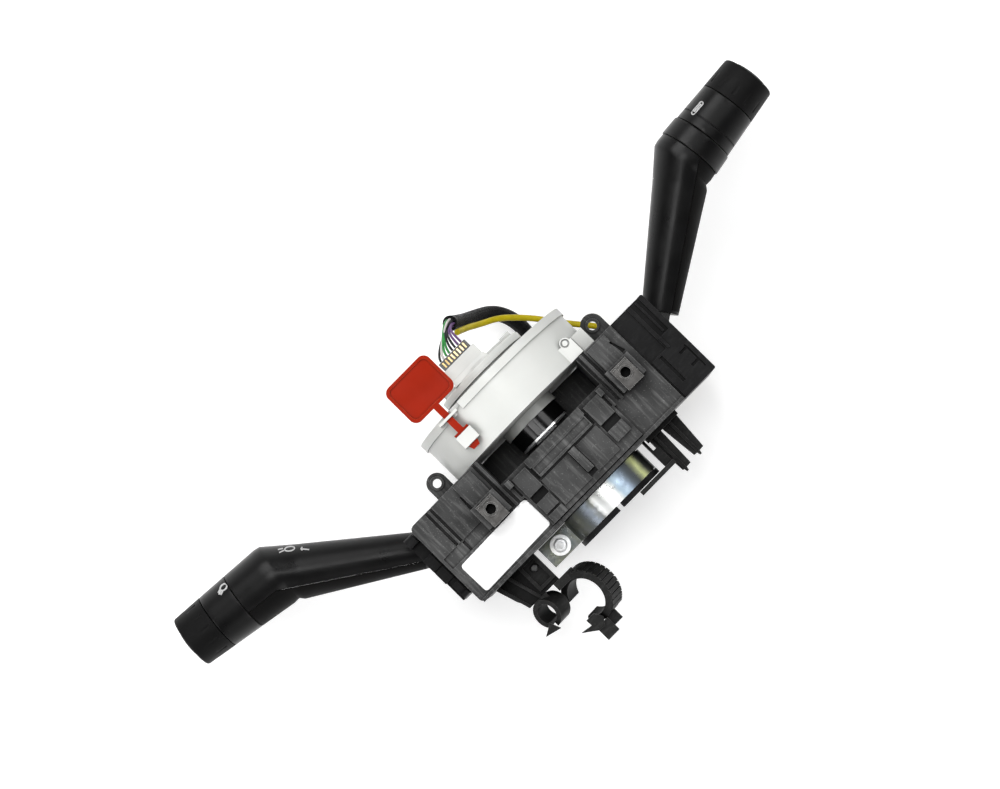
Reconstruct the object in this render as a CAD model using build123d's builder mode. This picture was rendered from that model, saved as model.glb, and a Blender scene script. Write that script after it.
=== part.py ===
from build123d import *
import os
from math import cos, pi, radians, sin, tan, sqrt

os.makedirs("parts", exist_ok=True)

# Combination stalk switch for a steering column, in millimetres.
# X runs along the two stalks, Y along the column towards the driver, and Z towards the side that
# the lower column shroud screws to. The origin is on the column axis, in the middle of the collar.

# ---- driving dimensions: running and seating clearances ----
RUN = 0.05            # radial clearance of a pin or shaft in its bore
GAP = 0.3             # clearance between pieces that move past each other
FIT = 0.15            # clearance of a module in its bay

# ---- driving dimensions: column, collar and clamp ----
COLUMN_R = 22.5       # column tube gripped by the collar
COLLAR_WALL = 2.5
COLLAR_BOTTOM = -8.7
COLLAR_LIP = 1.4      # how far the end lip stands out past the collar wall
COLLAR_LIP_LENGTH = 2.8
SLIT_WIDTH = 3.0
BAND_THICKNESS = 1.3
BAND_WIDTH = 12.6
BAND_GAP = 7.0        # between the two lugs
LUG_LENGTH = 19.0
LUG_THICKNESS = 2.4
BOLT_R = 2.9
BOLT_FLANGE_R = 5.3
BOLT_HEAD_R = 3.4
BOLT_SOCKET_R = 1.9
BOLT_HEAD_HEIGHT = 3.4
NUT_ACROSS_FLATS = 9.5
NUT_HEIGHT = 4.6
BOLT_TAIL = 2.0

# ---- driving dimensions: carrier ----
COVER_X = (-29.6, 32.2)            # front cover over the carrier's middle
HEAD_PANEL_X = (-18.0, 19.4)
LATCHES_X = ((-28.3, -19.3), (20.8, 30.6))
LATCH_POCKET_Y = (22.6, 27.0)
RIB_X = (0.5, 4.7)
RIB_NOTCH_Y = (13.0, 15.6)
GROOVE = 2.0                       # depth of the front wall's grooves and pockets
STEP = 0.9
STEP_Y = 36.0
RAMP_WIDTH = 11.8
LEFT_WEDGE = ((-52.2, 51.6), (-51.4, 51.6), (-50.9, 42.9), (-52.7, 42.9))
RIGHT_WEDGE = ((52.4, 52.6), (53.4, 52.6), (55.9, 44.6), (53.9, 44.6))
CARRIER_LEFT = -80.5
CARRIER_RIGHT = 59.0
CARRIER_BOTTOM = 7.35
CARRIER_TOP = 58.2
FRONT_Z = 36.0
BACK_Z = -27.0
WALL = 2.5
LEFT_WINDOW_DEPTH = 3.9            # how far in each lever's window reaches from its housing's end
RIGHT_WINDOW_DEPTH = 7.2
LEFT_WALL_X = (-38.4, -33.6)      # wall between the left bay and the middle room
RIGHT_WALL_X = (35.2, 40.2)       # wall between the middle room and the right bay
COLUMN_ROOM = 0.6                 # radial room round the column in the carrier
SLEEVE_WALL = 2.6                 # wall of the sleeve round the column
SLEEVE_TOP = 41.0
HOLLOW_BOTTOM = 41.7              # lower edge of the front hollow
CORNER_R = 3.0

# ---- driving dimensions: screw towers, clip nuts and ears ----
SHROUD_SCREW_Y = 36.65
SHROUD_SCREW_X = (-45.1, 47.6)
TOWER_WIDTH = 15.4
TOWER_HEIGHT = 13.2
TOWER_RISE = 7.0
TOWER_HOLE_R = 3.1
CLIP_WIDTH = 10.2
CLIP_THICKNESS = 1.0
CLIP_HOLE_R = 2.6
CLIP_REACH = 5.0
EARS = ((-56.0, 5.4), (54.8, 6.2)) # place across and outer radius of each ear
EAR_Y = 66.2
EAR_BOSS_R = 3.6
EAR_BOSS = 0.8
EAR_HOLE_R = 2.3
EAR_THICKNESS = 3.0

# ---- driving dimensions: switch housings and levers ----
PIVOT_X = 66.0
ARM_ANGLE = 35.32                 # arm direction above +X
HEAD_ANGLE = 7.1                  # head direction above +X
BEND_X = 144.7
BEND_Y = 91.4
TIP_S = 54.8                      # from the bend to the knob's end, along the head
HOUSING_WALL = 2.0
HOUSING_OUT = 80.5                # outer face of both housings and of the carrier
SHAFT_R = 2.5                     # yoke trunnion pins
LEVER_PIN_R = 3.0
YOKE_PLATE = 3.0
YOKE_INSIDE = 9.1                 # half the space between the yoke plates
YOKE_BOTTOM = 21.0
YOKE_TOP = 51.3
YOKE_IN = 9.0                     # reach of the yoke from the pivot, inwards
YOKE_OUT = 3.5                    # and outwards
BOSS_R = 5.0
HUB_R = 7.2
SHANK_HALF = 6.0
PLUNGER_R = 2.5
PLUNGER_REACH = 20.0              # plunger tip from the pivot
PLUNGER_TRAVEL = 1.5
BOARD_THICKNESS = 1.6

# ---- driving dimensions: clock spring ----
CASE_R = 47.5
CASE_WALL = 2.0
CASE_BOTTOM = CARRIER_TOP + 0.6
CASE_FLOOR = 2.5
RIM_R = 48.5
RIM_BOTTOM = 80.3
RIM_TOP = 84.7
RIM_PLATE = 2.2
HUB_OUTER_R = 16.2
SHAFT_BORE_R = 12.5
HUB_BOTTOM = 54.0
BEARING_TOP = 64.0
DRUM_R = 21.8
NECK_ROOM = 0.6
DISC_R = 26.0
DISC_BOTTOM = 87.6
DISC_TOP = 91.5
BLOCK_X = (-14.0, 6.3)
BLOCK_Z = (13.0, 21.4)
BLOCK_TOP = 101.0
PLUG_X = (-13.3, 4.7)
PLUG_Z = (14.0, 18.4)
PLUG_TOP = 105.8
CAM_BOTTOM = 46.0
CAM_R = 15.2
CAM_NOSE_R = 18.6
NOSE_X = -2.0
NOSE_WIDTH = 3.4
CAM_ROOM = 0.5                    # radial room between the shaft and the cam

# ---- driving dimensions: transport key ----
KEY_X = -28.3
KEY_THICKNESS = 2.0
KEY_STEM = 3.6
KEY_BAR = 8.7
KEY_ROOM = 0.7                     # between the key and the case's side
KEY_TAB_X = (-42.2, -13.9)
KEY_TAB_Y = (90.5, 113.3)
KEY_FOOT = 5.8
SOCKET_Y = (65.6, 72.4)

# ---- driving dimensions: electronics box and leads ----
FLOOR_Z = -48.5
BOX_X = (-38.0, 34.0)
BOX_Y = (9.0, 56.0)
BOX_WALL = 2.0
SLEEVE_R = 4.0                    # black lead
YELLOW_R = 1.6                    # yellow lead

BLACK_ROUTE = [
    (5.6, 117.9, 2.0), (10.0, 115.6, -12.0), (19.0, 112.9, -28.0), (26.6, 109.0, -35.5), (31.2, 98.8, -39.4),
    (30.4, 87.4, -42.16), (32.3, 75.6, -43.86), (38.2, 63.0, -44.45), (43.4, 51.6, -44.4), (46.4, 40.4, -44.45),
    (46.4, 30.4, -44.45),
]
YELLOW_ROUTE = [
    (4.9, 111.9, 4.0), (9.5, 111.3, -6.0), (16.5, 108.3, -17.0), (25.5, 104.5, -24.4), (33.6, 97.2, -30.0),
    (40.2, 89.8, -33.6), (45.4, 82.0, -34.4), (51.4, 74.4, -33.2), (57.6, 66.6, -31.6), (62.4, 58.8, -33.4),
    (65.0, 51.0, -38.6), (66.1, 43.6, -43.4), (66.4, 35.6, -44.75), (66.4, 28.0, -44.75),
]

# ---- worked out from the driving dimensions ----
PIVOT_Y = BEND_Y - (BEND_X - PIVOT_X) * tan(radians(ARM_ANGLE))
COLLAR_R = COLUMN_R + COLLAR_WALL
BAND_IN_R = COLLAR_R + 0.1
BAND_OUT_R = BAND_IN_R + BAND_THICKNESS
SLEEVE_IN_R = COLUMN_R + COLUMN_ROOM
SLEEVE_OUT_R = SLEEVE_IN_R + SLEEVE_WALL
DEPTH = FRONT_Z - BACK_Z
INNER_BOTTOM = CARRIER_BOTTOM + WALL
INNER_TOP = CARRIER_TOP - WALL
ARM = Vector(cos(radians(ARM_ANGLE)), sin(radians(ARM_ANGLE)), 0)
HEAD = Vector(cos(radians(HEAD_ANGLE)), sin(radians(HEAD_ANGLE)), 0)
PIVOT = Vector(PIVOT_X, PIVOT_Y, 0)
BEND = Vector(BEND_X, BEND_Y, 0)


def pane(xs, ys, mode=Mode.ADD):
    """A rectangle between two corners, in the sketch being drawn."""
    with Locations(((xs[0] + xs[1]) / 2, (ys[0] + ys[1]) / 2)):
        Rectangle(xs[1] - xs[0], ys[1] - ys[0], mode=mode)


def block(xs, ys, zs, mode=Mode.ADD):
    """A box between two corners, in the part being built."""
    with Locations(((xs[0] + xs[1]) / 2, (ys[0] + ys[1]) / 2, (zs[0] + zs[1]) / 2)):
        Box(xs[1] - xs[0], ys[1] - ys[0], zs[1] - zs[0], mode=mode)


def tube_along_y(outer, inner, ys):
    """A tube round the column axis, in the part being built."""
    with BuildSketch(Plane.XZ.offset(-ys[0])) as ring:
        Circle(outer)
        Circle(inner, mode=Mode.SUBTRACT)
    extrude(ring.sketch, amount=-(ys[1] - ys[0]))


def rod_along_y(x, z, radius, ys, mode=Mode.ADD):
    """A round rod parallel to the column, in the part being built."""
    with BuildSketch(Plane.XZ.offset(-ys[0])) as disc:
        with Locations((x, z)):
            Circle(radius)
    extrude(disc.sketch, amount=-(ys[1] - ys[0]), mode=mode)


def rod_along_z(x, y, radius, zs, mode=Mode.ADD):
    """A round rod across the column, in the part being built."""
    with BuildSketch(Plane.XY.offset(zs[0])) as disc:
        with Locations((x, y)):
            Circle(radius)
    extrude(disc.sketch, amount=zs[1] - zs[0], mode=mode)


def head_plane(s):
    """The plane across the lever's head, s millimetres out from the bend."""
    return Plane(origin=BEND + HEAD * s, x_dir=(-HEAD.Y, HEAD.X, 0), z_dir=HEAD)


def arm_plane(s, drop):
    """The plane across the lever's arm, s back from the bend, with its origin drop below the arm's line."""
    across = Vector(ARM.Y, -ARM.X, 0)
    return Plane(origin=BEND - ARM * s + across * drop, x_dir=(-ARM.Y, ARM.X, 0), z_dir=ARM)


def head_radius(s):
    """The head's outer radius, which tapers a little towards the tip."""
    return HEAD_R_BEND - (HEAD_R_BEND - HEAD_R_TIP) * s / TIP_S


# ---- column collar: a split sleeve with an end lip, slit so that the band can close it ----
with BuildPart() as column_collar:
    tube_along_y(COLLAR_R, COLUMN_R, (COLLAR_BOTTOM, CARRIER_BOTTOM))
    tube_along_y(COLLAR_R + COLLAR_LIP, COLUMN_R, (COLLAR_BOTTOM, COLLAR_BOTTOM + COLLAR_LIP_LENGTH))
    slit_ys = (COLLAR_BOTTOM, CARRIER_BOTTOM - WALL)
    with BuildSketch(Plane.XZ.offset(-slit_ys[0])):
        with PolarLocations(COLLAR_R, 4):
            Rectangle(3 * COLLAR_WALL + COLLAR_LIP, SLIT_WIDTH)
    extrude(amount=-(slit_ys[1] - slit_ys[0]), mode=Mode.SUBTRACT)

# ---- clamp band: an open steel ring with two lugs, drawn across the column ----
BAND_YS = (COLLAR_BOTTOM + COLLAR_LIP_LENGTH + 0.2, COLLAR_BOTTOM + COLLAR_LIP_LENGTH + 0.2 + BAND_WIDTH)
BAND_MID_Y = (BAND_YS[0] + BAND_YS[1]) / 2
LUG_TIP_X = -(COLLAR_R + LUG_LENGTH)
BOLT_X = LUG_TIP_X + LUG_LENGTH / 2
with BuildPart() as clamp_band:
    with BuildSketch(Plane.XZ.offset(-BAND_YS[0])):
        Circle(BAND_OUT_R)
        for side in (-1, 1):
            lug_z = side * (BAND_GAP + LUG_THICKNESS) / 2
            with Locations(((LUG_TIP_X - COLLAR_R) / 2, lug_z)):
                Rectangle(LUG_LENGTH, LUG_THICKNESS)
        Circle(BAND_IN_R, mode=Mode.SUBTRACT)
        with Locations((-BAND_OUT_R, 0)):
            Rectangle(4 * LUG_THICKNESS, BAND_GAP, mode=Mode.SUBTRACT)
    extrude(amount=-BAND_WIDTH)
    rod_along_z(BOLT_X, BAND_MID_Y, BOLT_R + 0.2, (-BAND_GAP, BAND_GAP), Mode.SUBTRACT)

LUG_FACE_Z = BAND_GAP / 2 + LUG_THICKNESS
with BuildPart() as clamp_bolt:
    rod_along_z(BOLT_X, BAND_MID_Y, BOLT_R, (-LUG_FACE_Z - NUT_HEIGHT - BOLT_TAIL, LUG_FACE_Z))
    rod_along_z(BOLT_X, BAND_MID_Y, BOLT_FLANGE_R, (LUG_FACE_Z, LUG_FACE_Z + 1.0))
    rod_along_z(BOLT_X, BAND_MID_Y, BOLT_HEAD_R, (LUG_FACE_Z, LUG_FACE_Z + BOLT_HEAD_HEIGHT))
    fillet(clamp_bolt.faces().sort_by(Axis.Z)[-1].edges(), BOLT_HEAD_HEIGHT / 4)
    with BuildSketch(Plane.XY.offset(LUG_FACE_Z + BOLT_HEAD_HEIGHT)):
        with Locations((BOLT_X, BAND_MID_Y)):
            RegularPolygon(BOLT_SOCKET_R, 6)
    extrude(amount=-2.0, mode=Mode.SUBTRACT)

with BuildPart() as clamp_nut:
    with BuildSketch(Plane.XY.offset(-LUG_FACE_Z)):
        with Locations((BOLT_X, BAND_MID_Y)):
            RegularPolygon(NUT_ACROSS_FLATS / 2, 6, major_radius=False)
            Circle(BOLT_R + RUN, mode=Mode.SUBTRACT)
    extrude(amount=-NUT_HEIGHT)

# ---- carrier: one moulding with two switch bays, a sleeve for the column and two ears ----
ROOM_X = (LEFT_WALL_X[1], RIGHT_WALL_X[0])
LEFT_BAY_X = (CARRIER_LEFT + WALL, LEFT_WALL_X[0])
RIGHT_BAY_X = (RIGHT_WALL_X[1], CARRIER_RIGHT)
COVER_BASE = FRONT_Z + 2.0
COVER_TOP = FRONT_Z + 4.6
WINDOW_Y = 30.5                   # lower edge of the lever's window
WINDOW_HALF_Z = 14.4
with BuildPart() as carrier:
    with BuildSketch(Plane.XY.offset(BACK_Z)):
        pane((CARRIER_LEFT, CARRIER_RIGHT), (CARRIER_BOTTOM, CARRIER_TOP))
        pane(LEFT_BAY_X, (INNER_BOTTOM, INNER_TOP), Mode.SUBTRACT)
        pane((RIGHT_BAY_X[0], CARRIER_RIGHT), (INNER_BOTTOM, INNER_TOP), Mode.SUBTRACT)
        pane(ROOM_X, (INNER_BOTTOM, CARRIER_TOP), Mode.SUBTRACT)
    extrude(amount=DEPTH)
    fillet(carrier.edges().filter_by(Axis.Z).group_by(Axis.X)[0], CORNER_R)
    # front wall, open over the steering hub
    with BuildSketch(Plane.XY.offset(FRONT_Z - WALL)):
        pane((LEFT_BAY_X[0] - WALL / 2, CARRIER_RIGHT), (CARRIER_BOTTOM + WALL / 2, CARRIER_TOP - WALL / 2))
        pane((ROOM_X[0], ROOM_X[1]), (HOLLOW_BOTTOM, CARRIER_TOP), Mode.SUBTRACT)
    extrude(amount=WALL)
    # wall behind the column, and the sleeve that the column passes through
    block(ROOM_X, (INNER_BOTTOM, CARRIER_TOP), (BACK_Z, BACK_Z + WALL))
    rod_along_y(0, 0, SLEEVE_OUT_R, (CARRIER_BOTTOM, SLEEVE_TOP))
    rod_along_y(0, 0, SLEEVE_IN_R, (CARRIER_BOTTOM, SLEEVE_TOP), Mode.SUBTRACT)
    # window for the left lever, open at the driver's side
    block(
        (CARRIER_LEFT - 1, LEFT_BAY_X[0] + 2 * FIT),
        (WINDOW_Y, CARRIER_TOP + 1),
        (-WINDOW_HALF_Z, WINDOW_HALF_Z),
        Mode.SUBTRACT,
    )
    block(
        (LEFT_BAY_X[0] - WALL, LEFT_BAY_X[0] + FIT + LEFT_WINDOW_DEPTH),
        (INNER_TOP - 1, CARRIER_TOP + 1),
        (-WINDOW_HALF_Z, WINDOW_HALF_Z),
        Mode.SUBTRACT,
    )
    # ears for the screws into the instrument panel
    with BuildSketch(Plane.XY.offset(-EAR_THICKNESS)):
        for ear_x, ear_r in EARS:
            pane((ear_x - ear_r, ear_x + ear_r), (CARRIER_TOP, EAR_Y))
            with Locations((ear_x, EAR_Y)):
                Circle(ear_r)
    extrude(amount=EAR_THICKNESS)
    for ear_x, ear_r in EARS:
        rod_along_z(ear_x, EAR_Y, EAR_BOSS_R, (-1, EAR_BOSS))
        rod_along_z(ear_x, EAR_Y, EAR_HOLE_R, (-EAR_THICKNESS - 1, EAR_BOSS + 1), Mode.SUBTRACT)
    # screw towers with a slot for the clip nut's hook
    for tower_x in SHROUD_SCREW_X:
        with BuildSketch(Plane.XY.offset(FRONT_Z - 1)):
            with Locations((tower_x, SHROUD_SCREW_Y)):
                Rectangle(TOWER_WIDTH, TOWER_HEIGHT)
        extrude(amount=TOWER_RISE + 1)
        rod_along_z(
            tower_x, SHROUD_SCREW_Y, TOWER_HOLE_R, (FRONT_Z - WALL, FRONT_Z + TOWER_RISE), Mode.SUBTRACT
        )
        block(
            (tower_x - CLIP_WIDTH / 2 - FIT, tower_x + CLIP_WIDTH / 2 + FIT),
            (SHROUD_SCREW_Y - TOWER_HEIGHT, SHROUD_SCREW_Y - TOWER_HEIGHT / 2 + CLIP_REACH + GAP),
            (FRONT_Z + TOWER_RISE / 2 - CLIP_THICKNESS, FRONT_Z + TOWER_RISE / 2 + GAP),
            Mode.SUBTRACT,
        )
        # the ramp that runs from the tower towards the driver
        with BuildSketch(Plane.YZ.offset(tower_x - RAMP_WIDTH / 2)):
            ramp_y = SHROUD_SCREW_Y + TOWER_HEIGHT / 2 - 1
            with BuildLine():
                Polyline(
                    (ramp_y, FRONT_Z - 1), (CARRIER_TOP - 1, FRONT_Z - 1), (CARRIER_TOP - 1, FRONT_Z + 0.6),
                    (CARRIER_TOP - 5, FRONT_Z + 1.8), (ramp_y, FRONT_Z + 2.4), close=True,
                )
            make_face()
        extrude(amount=RAMP_WIDTH)
    # the wedge-shaped slots beside the two ramps
    for corners in (LEFT_WEDGE, RIGHT_WEDGE):
        with BuildSketch(Plane.XY.offset(FRONT_Z - GROOVE)):
            with BuildLine():
                Polyline(*corners, close=True)
            make_face()
        extrude(amount=TOWER_RISE, mode=Mode.SUBTRACT)
    # two long grooves with a short one below them, and the step that they end at
    for groove_x in (-69.2, -66.3):
        block((groove_x - 0.8, groove_x + 0.8), (STEP_Y, CARRIER_TOP + 1), (FRONT_Z - GROOVE, FRONT_Z + 1), Mode.SUBTRACT)
    block((CARRIER_LEFT + 1.5, -53.2), (29.4, STEP_Y), (FRONT_Z - STEP, FRONT_Z + 1), Mode.SUBTRACT)
    block((-66.7, -65.1), (29.4, STEP_Y - 0.6), (FRONT_Z - GROOVE, FRONT_Z + 1), Mode.SUBTRACT)
    # ribs and grooves along the two inner walls
    for rib_x, groove_x in ((-34.7, -36.6), (38.0, 39.8), (38.0, 36.2)):
        block((groove_x - 0.7, groove_x + 0.7), (29.6, CARRIER_TOP + 1), (FRONT_Z - GROOVE, FRONT_Z + 1), Mode.SUBTRACT)
        block((rib_x - 0.7, rib_x + 0.7), (29.0, CARRIER_TOP), (FRONT_Z - 1, FRONT_Z + 2.2))
    # pockets behind the cover's latches, and the lip along the lower edge
    for latch_x in LATCHES_X:
        block(latch_x, LATCH_POCKET_Y, (FRONT_Z - GROOVE, FRONT_Z + 1), Mode.SUBTRACT)
    block((CARRIER_LEFT + 1, CARRIER_RIGHT), (CARRIER_BOTTOM, CARRIER_BOTTOM + 1.8), (FRONT_Z - 1, FRONT_Z + 0.9))

# ---- front cover: the latched panel in front of the column sleeve ----
with BuildPart() as front_cover:
    with BuildSketch(Plane.XY.offset(FRONT_Z)):
        pane(COVER_X, (CARRIER_BOTTOM + 2.4, 30.0))
        pane((-32.3, 33.5), (29.0, 36.6))
        pane(HEAD_PANEL_X, (35.0, HOLLOW_BOTTOM - GAP))
        for latch_x in LATCHES_X:
            pane(latch_x, (35.0, 39.2))
        # slots beside the head panel and beside the two shoulders
        for slot_x in ((-18.6, -17.2), (18.6, 19.9), (-30.7, -29.5), (31.1, 32.2)):
            pane(slot_x, (30.0, 36.7), Mode.SUBTRACT)
        for latch_x in LATCHES_X:
            pane(latch_x, LATCH_POCKET_Y, Mode.SUBTRACT)
        pane(RIB_X, RIB_NOTCH_Y, Mode.SUBTRACT)
    extrude(amount=COVER_BASE - FRONT_Z)
    # head panel: a bevel towards the driver, then a flat with a shallow recess
    with BuildSketch(Plane.YZ.offset(HEAD_PANEL_X[0])):
        with BuildLine():
            Polyline(
                (30.3, COVER_BASE - 1), (HOLLOW_BOTTOM - GAP, COVER_BASE - 1), (HOLLOW_BOTTOM - GAP, COVER_BASE),
                (HOLLOW_BOTTOM - 4.6, COVER_TOP), (30.3, COVER_TOP), close=True,
            )
        make_face()
    extrude(amount=HEAD_PANEL_X[1] - HEAD_PANEL_X[0])
    block((HEAD_PANEL_X[0] + 1.4, HEAD_PANEL_X[1] - 1.4), (31.6, 35.9), (COVER_TOP - 0.7, COVER_TOP + 1), Mode.SUBTRACT)
    for slot_x in ((-18.6, -17.2), (18.6, 19.9)):
        block(slot_x, (30.0, 36.7), (FRONT_Z - 1, COVER_TOP + 1), Mode.SUBTRACT)
    # shoulders, latch tabs and the sill under the left one
    for latch_x in LATCHES_X:
        block(latch_x, (LATCH_POCKET_Y[1], 39.2), (COVER_BASE - 1, COVER_TOP - 0.6))
        with BuildSketch(Plane.YZ.offset(latch_x[0] + 0.3)):
            tab_y = (15.6, LATCH_POCKET_Y[0])
            with BuildLine():
                Polyline(
                    (tab_y[0], COVER_BASE - 1), (tab_y[1], COVER_BASE - 1), (tab_y[1], COVER_BASE + 0.5),
                    (tab_y[0] + 2.4, COVER_TOP - 0.4), (tab_y[0], COVER_TOP - 0.4), close=True,
                )
            make_face()
        extrude(amount=latch_x[1] - latch_x[0] - 0.6)
    block(LATCHES_X[0], (CARRIER_BOTTOM + 2.4, 14.4), (COVER_BASE - 1, COVER_BASE + 1.4))
    # small posts at the two upper corners
    for post_x in ((-32.3, -29.2), (30.9, 33.5)):
        block(post_x, (36.6, 40.6), (FRONT_Z, COVER_TOP + 0.4))
    # raised middle panel in two halves, and the rib between them
    for half_x in ((-18.4, RIB_X[0] - 0.4), (RIB_X[1] + 0.4, 19.4)):
        block(half_x, (12.4, 29.0), (COVER_BASE - 1, COVER_BASE + 0.9))
    block(RIB_X, (RIB_NOTCH_Y[1], 29.4), (COVER_BASE - 1, COVER_TOP + 0.6))

# ---- clip nuts: folded spring steel, hooked over the towers ----
with BuildPart() as clip_nuts:
    tower_foot = SHROUD_SCREW_Y - TOWER_HEIGHT / 2
    tower_head = FRONT_Z + TOWER_RISE
    hook_z = FRONT_Z + TOWER_RISE / 2 - CLIP_THICKNESS / 2
    for clip_x in SHROUD_SCREW_X:
        with BuildSketch(Plane.YZ.offset(clip_x - CLIP_WIDTH / 2)):
            pane((tower_foot - CLIP_THICKNESS, SHROUD_SCREW_Y + 5.4), (tower_head, tower_head + CLIP_THICKNESS))
            pane((tower_foot - CLIP_THICKNESS, tower_foot), (hook_z - CLIP_THICKNESS / 2, tower_head + 0.5))
            pane(
                (tower_foot - CLIP_THICKNESS, tower_foot + CLIP_REACH),
                (hook_z - CLIP_THICKNESS / 2 + 0.2, hook_z + CLIP_THICKNESS / 2),
            )
        extrude(amount=CLIP_WIDTH)
        # the upturned lead-in edge, and the threaded collar
        block(
            (clip_x - CLIP_WIDTH / 2, clip_x + CLIP_WIDTH / 2),
            (SHROUD_SCREW_Y + 4.4, SHROUD_SCREW_Y + 5.4),
            (tower_head, tower_head + 2 * CLIP_THICKNESS),
        )
        rod_along_z(clip_x, SHROUD_SCREW_Y, CLIP_HOLE_R + 0.9, (tower_head, tower_head + 1.6 * CLIP_THICKNESS))
        rod_along_z(
            clip_x, SHROUD_SCREW_Y, CLIP_HOLE_R, (FRONT_Z, tower_head + 2 * CLIP_THICKNESS), Mode.SUBTRACT
        )

# ---- switch housings: boxes with a bearing for the yoke and a window for the lever ----
CAVITY_Y = (INNER_BOTTOM + FIT + HOUSING_WALL, INNER_TOP - FIT - HOUSING_WALL)
HOUSING_FRONT = FRONT_Z - WALL - FIT
CAVITY_FRONT = HOUSING_FRONT - HOUSING_WALL
LID_THICKNESS = 2.0
LID_Z = (BACK_Z, BACK_Z + LID_THICKNESS)
TRACK_REACH = PLUNGER_REACH + GAP + 0.05
BEARING_GAP = GAP
LEFT_STOPS = (-10, 10)
RIGHT_STOPS = (-8, 7, 14, 20)


def detent_track(inner_x, stops):
    """The block that the lever's plunger clicks along, with its hollow face round the pivot."""
    track_x = (inner_x + 1, PIVOT_X - PLUNGER_REACH + 3.5)
    with BuildPart() as track:
        block(track_x, (PIVOT_Y - 11, PIVOT_Y + 11), (-12, CAVITY_FRONT + 1))
        with Locations((PIVOT_X, PIVOT_Y, 0)):
            Sphere(TRACK_REACH, rotation=(0, 90, 0), mode=Mode.SUBTRACT)
        for angle in stops:
            depth = TRACK_REACH + 0.9
            rod_along_y(
                PIVOT_X - depth * cos(radians(angle)),
                depth * sin(radians(angle)),
                1.6,
                (PIVOT_Y - 8, PIVOT_Y + 8),
                Mode.SUBTRACT,
            )
    return track.part


def housing_core(inner_x, outer_x, wall_out, stops, window_depth):
    """The boxed part of a housing, with bearings, detent track and window, on the +X side.

    inner_x and outer_x are the box's two ends, wall_out is the thickness of its outer end, stops are
    the lever angles that have a notch, and window_depth is how far in the lever's window reaches.
    """
    with BuildPart() as core:
        block(
            (inner_x, outer_x),
            (INNER_BOTTOM + FIT, INNER_TOP - FIT),
            (LID_Z[1], HOUSING_FRONT),
        )
        block(
            (inner_x + HOUSING_WALL, outer_x - wall_out),
            CAVITY_Y,
            (BACK_Z, CAVITY_FRONT),
            Mode.SUBTRACT,
        )
        # bearing bosses for the yoke's two trunnion pins
        rod_along_y(PIVOT_X, 0, BOSS_R, (CAVITY_Y[0] - 1, YOKE_BOTTOM - BEARING_GAP))
        rod_along_y(PIVOT_X, 0, BOSS_R, (YOKE_TOP + BEARING_GAP, CAVITY_Y[1] + 1))
        # ledge that joins the lower boss to the front wall
        block((PIVOT_X - 1, PIVOT_X + 1), (CAVITY_Y[0] - 1, YOKE_BOTTOM - 3), (BOSS_R - 1, CAVITY_FRONT + 1))
        # lever window through the outer end and the driver's side
        block(
            (outer_x - window_depth, outer_x + 1),
            (WINDOW_Y, INNER_TOP + 1),
            (-WINDOW_HALF_Z, WINDOW_HALF_Z),
            Mode.SUBTRACT,
        )
        # trunnion bores
        rod_along_y(PIVOT_X, 0, SHAFT_R + RUN, (CAVITY_Y[0] - 1, YOKE_BOTTOM), Mode.SUBTRACT)
        rod_along_y(PIVOT_X, 0, SHAFT_R + RUN, (YOKE_TOP, CAVITY_Y[1] + 1), Mode.SUBTRACT)
        # detent track: a block with a hollow ball face round the pivot and three notches
        add(detent_track(inner_x, stops))
    return core.part


core_left = housing_core(-LEFT_BAY_X[1] + FIT, -LEFT_BAY_X[0] - FIT, HOUSING_WALL, LEFT_STOPS, LEFT_WINDOW_DEPTH)
with BuildPart() as left_housing:
    mirror(core_left, about=Plane.YZ)

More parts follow.
